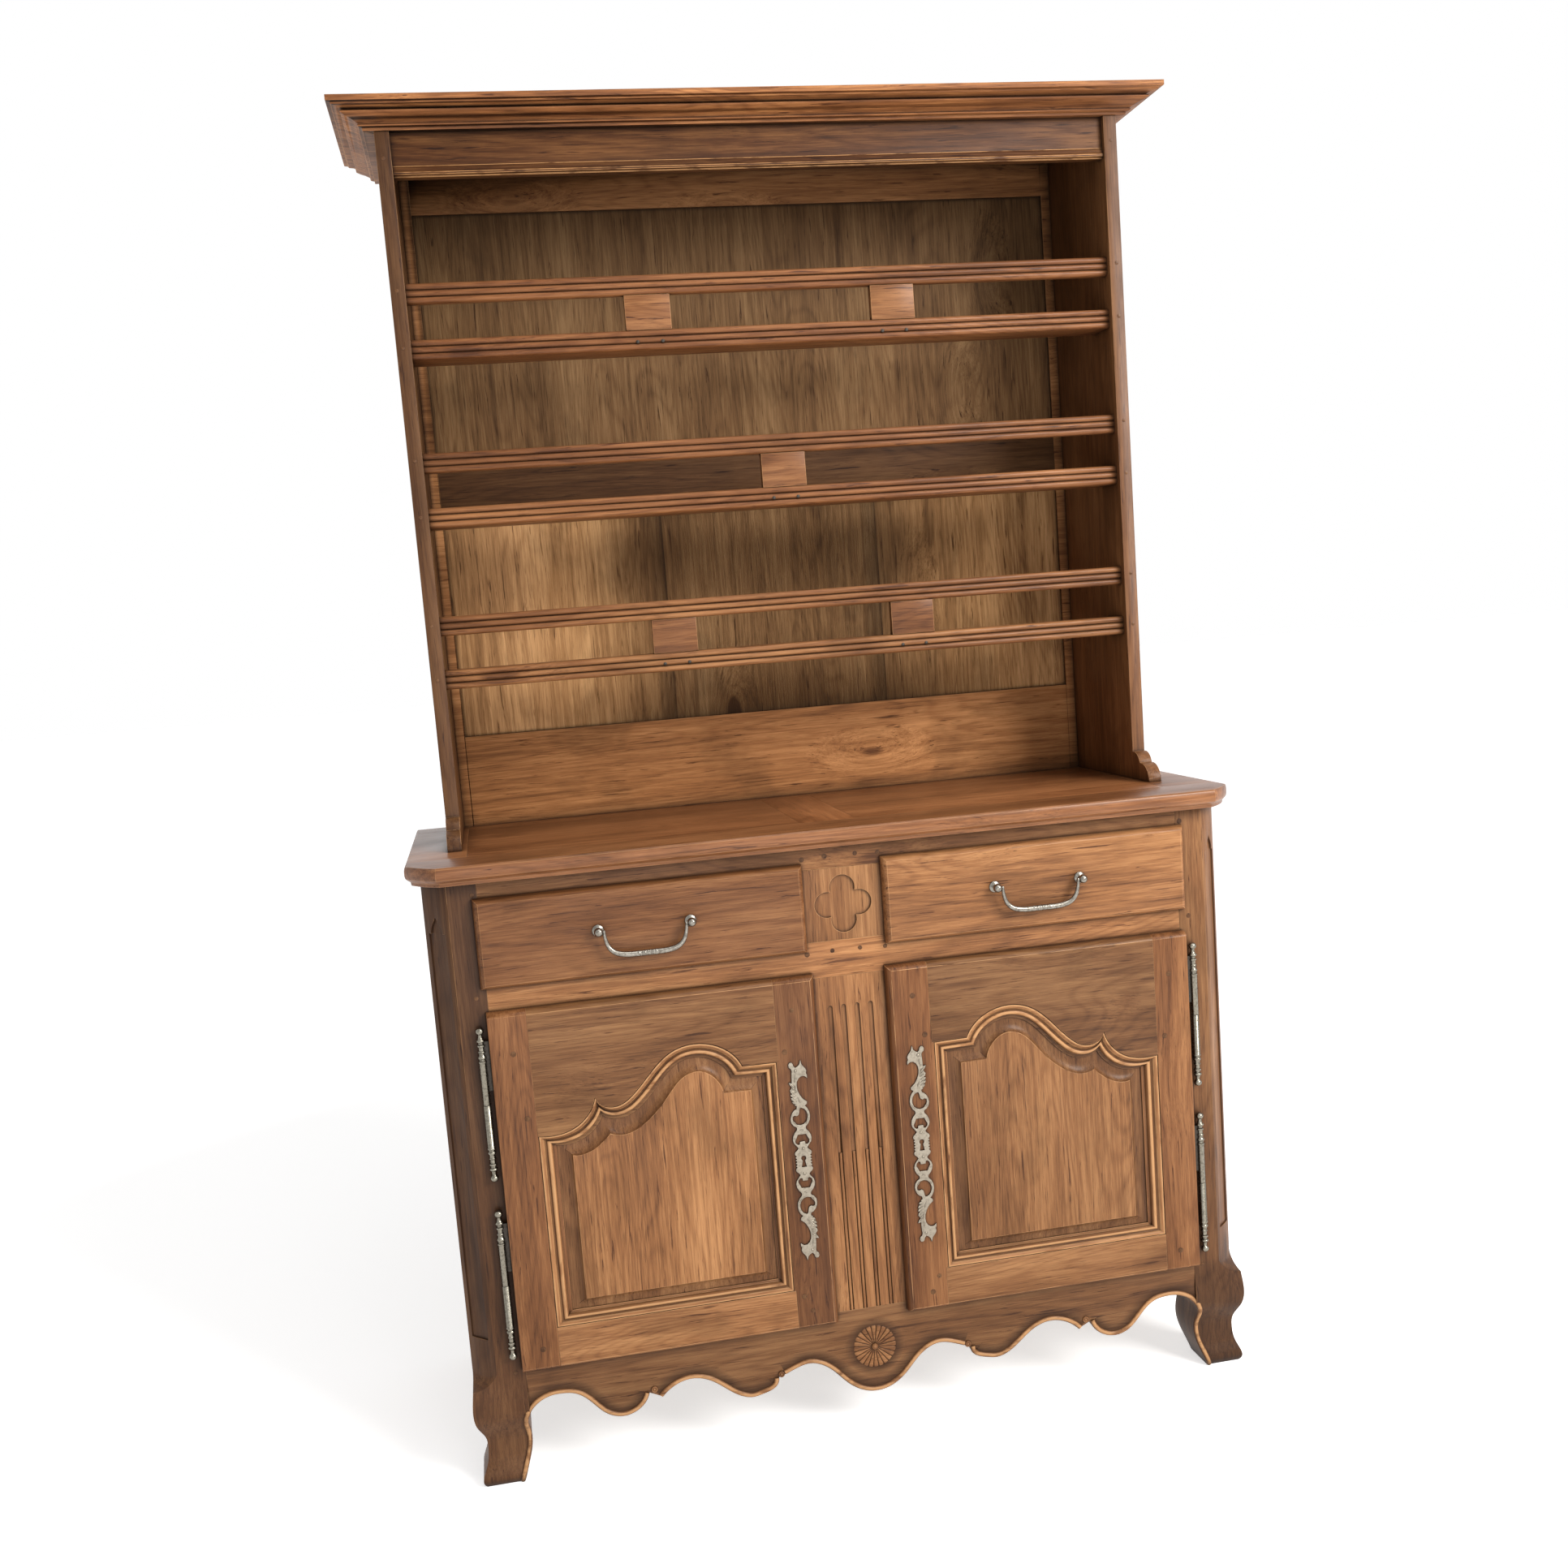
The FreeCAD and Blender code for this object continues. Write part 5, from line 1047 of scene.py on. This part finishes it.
def peg(mesh: BMesh, place: Vector, dice: random.Random, radius: float = 4.1) -> None:
    """Set one hand-cut peg into a face that looks forward.

    Args:
        mesh: The bmesh to add to.
        place: Its centre on the face.
        dice: Chance that makes each peg a little different.
        radius: Its radius in millimetres.
    """
    size = radius * dice.uniform(0.88, 1.1)
    proud = dice.uniform(0.25, 0.7)
    lathe(mesh, place, FORWARDS, [(-3, size), (proud - 0.2, size), (proud, size * 0.82), (proud, 0)], steps=9)


@dataclass
class HingeSet:
    """The turned hinges: the lower halves stand on the posts, the upper halves move with the doors.

    The turning is an end's profile, and the barrel goes on from it: how far before the middle, and the radius.
    A leaf is its span across, its depths from the axis, its middle's height above the hinge's foot and half its
    length. Everything is measured on the right-hand door, in millimetres.
    """

    shop: Workshop
    axis_x: float = 566.0
    axis_y: float = -9.2
    lows: Pair = (206.0, 489.5)
    long: float = 238.0
    turning: tuple = ((0, 0), (0.3, 2.5), (1.4, 4.5), (3.2, 5.8), (5.4, 6.3), (7.6, 5.8), (9.4, 4.5),
                      (10.6, 3.2), (12.5, 2.9), (15, 3.6), (17.5, 4.4), (18.6, 6), (20.2, 6.4), (21.6, 5.8),
                      (22.3, 4), (25.5, 3.9), (26.2, 5.6), (27.4, 5.8), (28.6, 5.6), (29.3, 4), (35, 3.9),
                      (36, 5.4), (37.4, 5.6), (38.6, 4.3), (42, 4.4), (43.6, 5.8), (45.4, 6.4), (47, 5.9),
                      (48, 4.7), (50.5, 4.9), (51.2, 6.4), (52.6, 6.4), (53.4, 5.7))
    play: float = 0.15
    barrel: tuple = ((0.5, 5.7), (0.0, 5.2), (0.0, 0.0))
    door_leaf: tuple = ((532.0, 562.4), (-1.0, 1.0), 178.5, 38.0)
    post_leaf: tuple = ((565.0, 567.0), (0.0, 31.2), 59.5, 19.0)

    def half(self, mesh: BMesh, hand: int, low: float, upper: bool) -> None:
        """Add half of one hinge: its turned end and its barrel.

        Args:
            mesh: The bmesh to add to.
            hand: 1 on the right-hand door, -1 on the left-hand one.
            low: Height of the hinge's foot.
            upper: Whether this is the moving half above.
        """
        origin = self.shop.at(hand * self.axis_x, self.axis_y, low + (self.long if upper else 0))
        axis = Vector((0, 0, -1 if upper else 1))
        middle = self.long / 2 - self.play
        barrel = [(middle - back, radius) for back, radius in self.barrel]
        lathe(mesh, origin, axis, [*self.turning, *barrel], steps=20)

    def plates(self, mesh: BMesh, hand: int, low: float, upper: bool) -> None:
        """Add the leaf of one half of a hinge.

        Args:
            mesh: The bmesh to add to.
            hand: 1 on the right-hand door, -1 on the left-hand one.
            low: Height of the hinge's foot.
            upper: Whether this is the moving half above.
        """
        across, depth, middle, half = self.door_leaf if upper else self.post_leaf
        near, far = sorted(hand * x for x in across)
        first = self.shop.at(near, self.axis_y + depth[0], low + middle - half)
        last = self.shop.at(far, self.axis_y + depth[1], low + middle + half)
        box = Matrix.Translation((first + last) / 2) @ Matrix.Diagonal((*(last - first), 1))
        bmesh.ops.create_cube(mesh, size=1.0, matrix=box)

    def build(self) -> None:
        """Hang the hinges of both doors."""
        for shape, ending, slot in ((self.half, "_finished", NICKEL.name), (self.plates, "_leaves", IRON.name)):
            fixed = bmesh.new()
            for hand, side in SIDES.items():
                moving = bmesh.new()
                for low in self.lows:
                    shape(moving, hand, low, True)
                    shape(fixed, hand, low, False)
                node = side + "_door_hinges"
                self.shop.add(moving, node + ending, side + "_door", slot, node, smooth=48.0)
            self.shop.add(fixed, "post_hinges" + ending, "case", slot, "post_hinges", smooth=48.0)


@dataclass
class PullSet:
    """The two drawers' bail pulls: balls on turned roses, and a wire that swells towards its grip.

    The line is half of the hanging wire, as a way from the middle and down. Grip, knob and stub are turned
    profiles.
    """

    shop: Workshop
    middle: float = 309.0
    high: float = 855.0
    face: float = -16.3
    reach: float = 15.2
    line: tuple = ((62.4, 0.0), (61.9, 1.6), (61.4, 5.5), (60.5, 11.0), (58.7, 18.5), (54.3, 27.0), (47.0, 33.2),
                   (36.5, 36.6), (24.0, 37.9), (14.0, 38.0))
    grip: tuple = ((17.5, 3.4), (15.5, 4.3), (13.0, 4.9), (11.0, 4.5), (9.8, 3.4), (9.2, 2.9), (8.6, 4.3),
                   (7.9, 4.8), (7.1, 4.3), (6.6, 3.0), (5.6, 2.9), (5.1, 4.4), (4.3, 4.9), (3.4, 4.9), (2.6, 4.4),
                   (2.1, 3.1), (1.4, 3.0), (0.9, 4.4), (0.0, 4.9))
    knob: tuple = ((-6, 2.4), (0, 2.4), (0, 8.5), (0.9, 8.6), (1.5, 8.0), (1.8, 6.4), (2.6, 5.6), (3.2, 4.0),
                   (5.0, 3.1), (8.2, 3.1), (9.0, 4.4), (9.8, 4.6), (10.2, 5.4), (12.4, 6.7), (15.2, 7.0),
                   (18.2, 6.3), (20.6, 4.6), (21.8, 2.4), (22.2, 0))
    knob_off: float = 69.75
    stub: tuple = ((3.0, 0.0), (3.0, 2.6), (5.2, 2.6), (5.2, 2.2), (10.2, 2.2), (10.2, 0))
    stub_off: float = 57.4
    drop: float = 38.0
    thin: float = 2.4
    swell: float = 2.1

    def knobs(self, mesh: BMesh, hand: int) -> None:
        """Add the rose, neck and ball at both ends of one pull."""
        for end in (-1, 1):
            place = self.shop.at(hand * (self.middle + end * self.knob_off), self.face, self.high)
            lathe(mesh, place, FORWARDS, self.knob)

    def bail(self, mesh: BMesh, hand: int) -> None:
        """Add one hanging wire and its turned grip."""
        half = smooth_line(list(self.line), steps=4)
        flat = [(along, -down) for along, down in half] + [(-along, -down) for along, down in reversed(half)]
        depth = self.face - self.reach
        line = [self.shop.at(hand * self.middle + along, depth, self.high + up) for along, up in flat]
        tube(mesh, line, [(self.thin + self.swell * (-up / self.drop) ** 1.6) * MM for _, up in flat])
        profile = list(self.grip) + [(-along, radius) for along, radius in reversed(self.grip[:-1])]
        centre = self.shop.at(hand * self.middle, depth, self.high - self.drop)
        lathe(mesh, centre, Vector((-1, 0, 0)), [(-along, radius) for along, radius in profile], steps=20)
        for end in (-1, 1):
            place = self.shop.at(hand * self.middle + end * self.stub_off, depth, self.high)
            lathe(mesh, place, Vector((end, 0, 0)), self.stub, steps=14)

    def build(self) -> None:
        """Fit the pulls of both drawers."""
        for hand, side in SIDES.items():
            for part, maker, body in (("pull_knobs", self.knobs, "_drawer"), ("bail", self.bail, "_bail")):
                mesh = bmesh.new()
                maker(mesh, hand)
                node = "%s_%s" % (side, part)
                self.shop.add(mesh, node + "_finished", side + body, self.shop.slot_of(node), node, smooth=42.0)


@dataclass
class ApronTrim:
    """The bead that follows the scalloped apron and the feet, with its eyes and the petalled rosette.

    The scallops are shares of half the width and of the drop, one run between two cusps each. The strip beside
    the bead that paints the shade of its hollow is a way in, a height and a share of painted shade, and the halo
    round the rosette a radius, a height and that share. The leg's lines are heights with how far its front stands
    forward, and how far its edge lies outward.
    A petal is a share of the radius with its width and height there. Eye and boss are turned profiles.
    """

    shop: Workshop
    half: float = 550.0
    sill: float = 196.0
    drop: float = 141.0
    scallops: tuple = (
        ((0, 1), (0.044, 0.965), (0.087, 0.851), (0.136, 0.652), (0.196, 0.55), (0.235, 0.582), (0.267, 0.631)),
        ((0.288, 0.656), (0.295, 0.745), (0.342, 0.823), (0.364, 0.837), (0.387, 0.823), (0.438, 0.702),
         (0.487, 0.56), (0.542, 0.504), (0.585, 0.546), (0.625, 0.66)),
        ((0.662, 0.589), (0.698, 0.766), (0.742, 0.809), (0.785, 0.752), (0.835, 0.553), (0.873, 0.454),
         (0.905, 0.433), (0.933, 0.436), (0.973, 0.496), (1, 0.61)))
    bead: float = 4.3
    bead_in: float = 3.9
    bead_sunk: float = 1.2
    # A strip beside the bead that carries painted shade: way in, height above the face and share
    hollow: tuple = ((7.6, 0.35, 1.1), (12.5, 0.3, 0.85), (24.0, 0.03, 0.0))
    leg_front: tuple = ((182, 0), (157, 1), (130, 4), (100, 0), (76, -11), (56, -12.5), (31, -8), (10, -1), (0, -6))
    leg_inner: tuple = ((102, 2.9), (80, 1), (49, 2), (23, 10), (2, 17))
    leg_top: float = 112.0
    rubbed_from: float = 2.4
    # Bead vertices standing less than this before the face get painted shade
    shaded_to: float = 0.9
    bead_tone: float = 0.1
    rosette_tone: float = 0.35
    petal_sunk: float = 0.6
    # Rosette vertices standing less than this before the face get painted shade
    petal_shaded: float = 0.7
    rosette_high: float = 130.0
    # A ring round the rosette that carries painted shade: radius, height above the face and share
    halo: tuple = ((34.0, 0.35, 1.1), (39.0, 0.3, 0.75), (50.0, 0.03, 0.0), (50.0, -0.5, 0.0), (34.0, -0.5, 0.0))
    halo_steps: int = 48
    eyes: tuple = ((154.0, 108.5), (356.0, 117.5))
    eye: tuple = ((-1, 5.2), (1.4, 5.2), (2.2, 4.6), (2.4, 3.4), (1.6, 2.6), (2.2, 1.4), (2.5, 0))
    boss: tuple = ((-1, 5), (2.0, 5), (3.0, 4.2), (2.6, 3.0), (3.6, 1.8), (3.9, 0))
    petal: tuple = ((0.14, 0.9, 0.9), (0.3, 0.97, 1.5), (0.6, 0.97, 2.1), (0.88, 0.97, 2.4), (0.96, 0.9, 1.9),
                    (1.0, 0.66, 0.9))

    def beside(self, line: list[Pair], inward: float) -> list[Pair]:
        """Move a line to its left by a distance.

        Args:
            line: Points in the front view.
            inward: How far, in millimetres.

        Returns:
            The moved points.
        """
        moved = []
        for index, (x, z) in enumerate(line):
            before, after = line[max(index - 1, 0)], line[min(index + 1, len(line) - 1)]
            run = Vector((after[0] - before[0], after[1] - before[1])).normalized()
            moved.append((x - run.y * inward, z + run.x * inward))
        return moved

    def edge(self, run: tuple[Pair, ...]) -> list[Pair]:
        """Place the points of one scallop on the right-hand half, in millimetres."""
        return [(x * self.half, self.sill - up * self.drop) for x, up in run]

    def shade_hollow(self, mesh: BMesh) -> dict[BMVert, float]:
        """Lay on the apron a thin strip beside its bead and a ring round its rosette, which carry painted shade.

        Args:
            mesh: The apron's bmesh.

        Returns:
            How dark the dirt has made each added vertex.
        """
        grime = {}

        def lay(rings: list[list[Triple]], shares: list[float], closed: bool) -> None:
            """Stretch one strip over rings of x, height above the face and z."""
            rows = [[mesh.verts.new(self.shop.at(x, -up, z)) for x, up, z in ring] for ring in rings]
            for row in rows:
                grime.update(zip(row, shares))
            pairs = list(zip(rows, rows[1:])) + ([(rows[-1], rows[0])] if closed else [])
            faces = [mesh.faces.new((near[i], near[i - 1], far[i - 1], far[i]))
                     for near, far in pairs for i in range(len(near))]
            if not closed:
                faces += [mesh.faces.new(list(reversed(rows[0]))), mesh.faces.new(rows[-1])]
            bmesh.ops.recalc_face_normals(mesh, faces=faces)

        # The strip's painted shade is darkest next to the bead and fades away from it
        shares = [share for _, _, share in self.hollow] + [0.0, 0.0]
        ring = [(inward, up) for inward, up, _ in self.hollow]
        ring += [(self.hollow[-1][0], -0.5), (self.hollow[0][0], -0.5)]
        for hand in SIDES:
            for run in self.scallops:
                edge = smooth_line(self.edge(run))
                sides = [(self.beside(edge, inward), up) for inward, up in ring]
                rings = [[(hand * line[i][0], up, line[i][1]) for line, up in sides] for i in range(len(edge))]
                lay(rings, shares, False)
        # The ring round the rosette carries painted shade, darkest next to the petals
        angles = [math.tau * step / self.halo_steps for step in range(self.halo_steps)]
        rings = [[(radius * math.cos(a), up, self.rosette_high + radius * math.sin(a))
                  for radius, up, _ in self.halo]
                 for a in angles]
        lay(rings, [share for _, _, share in self.halo], True)
        return grime

    def front_at(self, x: float, z: float) -> float:
        """Give how far the face under the bead stands before the post's, in millimetres.

        Args:
            x: Distance from the middle of the case; past its half-width the leg begins.
            z: Height above the floor.

        Returns:
            Nothing over the apron, and the way that the foot's front curves over the leg.
        """
        if x <= self.half - 1 or z >= self.leg_top:
            return 0.0
        line = smooth_line([(-high, out) for high, out in self.leg_front])
        for (low, first), (high, last) in zip(line, line[1:]):
            if low <= -z <= high:
                return first + (last - first) * (-z - low) / (high - low)
        return 0.0

    def build(self) -> None:
        """Add the bead, the eyes and the rosette."""
        mesh = bmesh.new()
        for hand in SIDES:
            for run in self.scallops:
                edge = self.edge(run)
                if run is self.scallops[-1]:
                    edge += [(self.half + x, z) for z, x in self.leg_inner]
                line = [self.shop.at(hand * x, self.bead_sunk - self.front_at(x, z), z)
                        for x, z in self.beside(smooth_line(edge), self.bead_in)]
                tube(mesh, line, [self.bead * MM] * len(line), sides=16)
            for x, z in self.eyes:
                lathe(mesh, self.shop.at(hand * x, 0, z), FORWARDS, self.eye, steps=18)
        proud = {vert: self.shop.at(0, -self.front_at(abs(vert.co.x) / MM, vert.co.z / MM), 0).y - vert.co.y
                 for vert in mesh.verts}
        rubbed = {vert for vert, out in proud.items() if out > self.rubbed_from * MM}
        # The bead's foot, where it meets the face, gets painted shade
        grime = {vert: 1.0 for vert, out in proud.items() if out < self.shaded_to * MM}
        self.shop.mark_boards(mesh, Grain.ACROSS, rubbed, tone=self.bead_tone, grime=grime)
        self.shop.add(mesh, "apron_bead", "case", WAXED.name, smooth=60.0)
        self.rosette()

    def rosette(self, radius: float = 35.0, petals: int = 24, arch_steps: int = 8) -> None:
        """Carve the rosette: a ring of long petals round a small boss.

        Args:
            radius: Its radius in millimetres.
            petals: How many petals it has.
            arch_steps: How many faces cross each petal.
        """
        mesh = bmesh.new()
        centre = self.shop.at(0, 0, self.rosette_high)
        turn = [math.pi * step / arch_steps for step in range(arch_steps + 1)]
        for index in range(petals):
            angle = math.tau * index / petals
            out = Vector((math.cos(angle), 0, math.sin(angle)))
            across = Vector((-out.z, 0, out.x))
            rows = []
            for share, wide, high in self.petal:
                half = share * radius * math.sin(math.pi / petals) * wide
                rows.append([centre + (out * share * radius + across * half * math.cos(a)) * MM
                             + FORWARDS * (high * math.sin(a) ** 0.5 - self.petal_sunk) * MM for a in turn])
            skin(mesh, rows)
        # The petals' feet and the gaps between them get painted shade
        grime = {vert: 1.0 for vert in mesh.verts if vert.co.y > centre.y - self.petal_shaded * MM}
        lathe(mesh, centre, FORWARDS, self.boss, steps=22)
        self.shop.mark_boards(mesh, Grain.ACROSS, tone=self.rosette_tone, grime=grime)
        self.shop.add(mesh, "apron_rosette", "case", WAXED.name, smooth=50.0)


@dataclass
class PegsAndNails:
    """The pegs of the case and rack joints, and the nails through the rack's spacer blocks.

    The pegs are placed by x and height, those of the rack's joints by height only. A spacer block is its x with the
    heights of its lower and its upper nails.
    """

    shop: Workshop
    case_pegs: tuple = ((557, 925), (565, 180), (568, 149), (24, 928), (60, 926), (22, 780), (62, 778), (566, 770))
    rack_edges: tuple = (1830, 1745, 1576, 1490, 1323, 1238, 2023)
    blocks: tuple = ((199, 1741, 1803), (0, 1487, 1549), (199, 1235, 1297))
    rack_place: Pair = (580, 196)
    nail_depths: Pair = (208.0, 216.0)
    nail_off: float = 20
    nail: tuple = ((-1, 2.6), (0.2, 2.6), (0.7, 1.8), (0.9, 0))

    def build(self) -> None:
        """Add every peg and nail that the case carries."""
        mesh = bmesh.new()
        for hand in SIDES:
            for x, z in self.case_pegs:
                peg(mesh, self.shop.at(hand * x, 0, z), self.shop.dice, radius=3.6)
            for z in self.rack_edges:
                x, y = self.rack_place
                peg(mesh, self.shop.at(hand * x, y, z), self.shop.dice, radius=3.0)
        self.shop.mark_boards(mesh, Grain.DEEP, tone=PEG_TONE)
        self.shop.add(mesh, "case_pegs", "case", WAXED.name)
        nails = bmesh.new()
        for x, *heights in self.blocks:
            for hand in SIDES if x else (1,):
                for off in (-self.nail_off, self.nail_off):
                    for z, y in zip(heights, self.nail_depths):
                        lathe(nails, self.shop.at(hand * x + off, y, z), FORWARDS, self.nail, steps=12)
        self.shop.add(nails, "rack_nails", "case", IRON.name)


@dataclass
class Studio:
    """Pale floor, soft lamps and the camera at the photograph's viewing angle."""

    focal_px: float = 1907.43
    picture_px: float = 1932.0
    centre_px: Pair = (950.85, 1007.23)
    stand: Triple = (-0.5023, -2.2952, 1.2993)
    turn: Triple = (-0.1732, -0.1295, 0.0772)
    floor_size: float = 60.0
    floor_paleness: float = 0.6
    far_paleness: float = 0.75
    floor_fade: Pair = (0.5, 2.6)
    fill: float = 0.31
    lamps: tuple = (("key", (2.7, -3.2, 3.0), 2.0, 218, (1.0, 0.985, 0.96)),
                    ("front", (-0.3, -4.2, 1.2), 2.6, 30, (0.97, 0.98, 1.0)),
                    ("top", (0.6, -1.2, 4.2), 2.2, 40, (1, 1, 1)))
    aim: Triple = (0, 0, 1.0)

    def camera(self, post_front: float) -> None:
        """Place the camera as it was solved from the photograph.

        Args:
            post_front: Depth of the posts' front plane in the row frame, from which stand is measured.
        """
        data = bpy.data.cameras.new("camera")
        camera = put_in_scene("camera", data)
        about_z, about_x, about_y = (Matrix.Rotation(angle, 3, axis) for angle, axis in zip(self.turn, "ZXY"))
        solved = about_z @ about_x @ about_y
        right, forward, up = solved.col[0], solved.col[1], solved.col[2]
        world = Matrix((right, up, -forward)).transposed().to_4x4()
        world.translation = Vector(self.stand) + Vector((0, post_front, 0))
        camera.matrix_world = world
        data.sensor_fit = "HORIZONTAL"
        data.sensor_width = 36.0
        data.lens = self.focal_px / self.picture_px * data.sensor_width
        half = self.picture_px / 2
        data.shift_x = (half - self.centre_px[0]) / self.picture_px
        data.shift_y = (self.centre_px[1] - half) / self.picture_px
        data.clip_end = 60.0
        bpy.context.scene.camera = camera

    def floor(self) -> None:
        """Lay a pale floor that keeps the object's shadow."""
        mesh = bmesh.new()
        bmesh.ops.create_grid(mesh, x_segments=1, y_segments=1, size=self.floor_size / 2)
        floor = mesh_object("floor", mesh)
        material, wires, shader = new_material("pale_floor")
        away = wires.node("VectorMath", {0: wires.node("TexCoord", {}).outputs["Object"]}, operation="LENGTH")
        near, far = self.floor_fade
        fade = wires.node("MapRange", {"Value": away.outputs["Value"], "From Min": near, "From Max": far,
                                       "To Max": self.far_paleness}).outputs["Result"]
        pale = wires.math("MULTIPLY", wires.seen(), self.floor_paleness)
        wires.fill(shader, {"Base Color": (0.93, 0.925, 0.92, 1), "Roughness": 0.8, "Emission Color": WHITE,
                            "Emission Strength": wires.math("MAXIMUM", fade, pale)})
        floor.data.materials.append(material)

    def lamp(self, name: str, place: Triple, size: float, watts: float, colour: Triple) -> None:
        """Hang a soft square lamp that looks at the dresser.

        Args:
            name: The lamp's name.
            place: Where it hangs.
            size: Its side in metres.
            watts: Its power.
            colour: Its tint.
        """
        data = bpy.data.lights.new(name, "AREA")
        data.shape, data.size, data.energy, data.color = "SQUARE", size, watts, colour
        lamp = put_in_scene(name, data)
        lamp.location = place
        lamp.rotation_euler = (Vector(self.aim) - Vector(place)).to_track_quat("-Z", "Y").to_euler()

    def world(self) -> None:
        """Light everything softly, and show white to the camera and to what mirrors it."""
        world = bpy.data.worlds.new("studio")
        bpy.context.scene.world = world
        world.use_nodes = True
        world.node_tree.nodes.clear()
        wires = Wiring(world.node_tree)
        soft, white = (wires.node("Background", {"Color": WHITE, "Strength": strength}).outputs[0]
                       for strength in (self.fill, 1.0))
        both = wires.node("MixShader", {0: wires.seen(), 1: soft, 2: white}).outputs[0]
        wires.node("OutputWorld", {"Surface": both})

    def build(self, post_front: float) -> None:
        """Set the whole stage.

        Args:
            post_front: Depth of the posts' front plane in the row frame.
        """
        bpy.context.scene.view_settings.view_transform = "Standard"
        self.floor()
        self.world()
        for row in self.lamps:
            self.lamp(*row)
        self.camera(post_front)


def main() -> None:
    """Build the dresser's look and report each piece."""
    logging.basicConfig(level=logging.INFO, format="%(message)s")
    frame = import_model()
    shop = Workshop(frame)
    apron = ApronTrim(shop)
    shop.worked["apron"] = apron.shade_hollow
    shop.worked["rack_left_side"] = shop.worked["rack_right_side"] = shade_depth
    doors = [DoorTrim(shop, hand) for hand in SIDES]
    for door in doors:
        shop.worked[door.side + "_door_panel"] = door.shade_bevel
    for piece in (Joinery(shop), *doors, HingeSet(shop), PullSet(shop), apron, PegsAndNails(shop)):
        piece.build()
    shop.dress_plain_nodes()
    Studio().build(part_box("top_rail")[0].y)


if __name__ == "__main__":
    main()
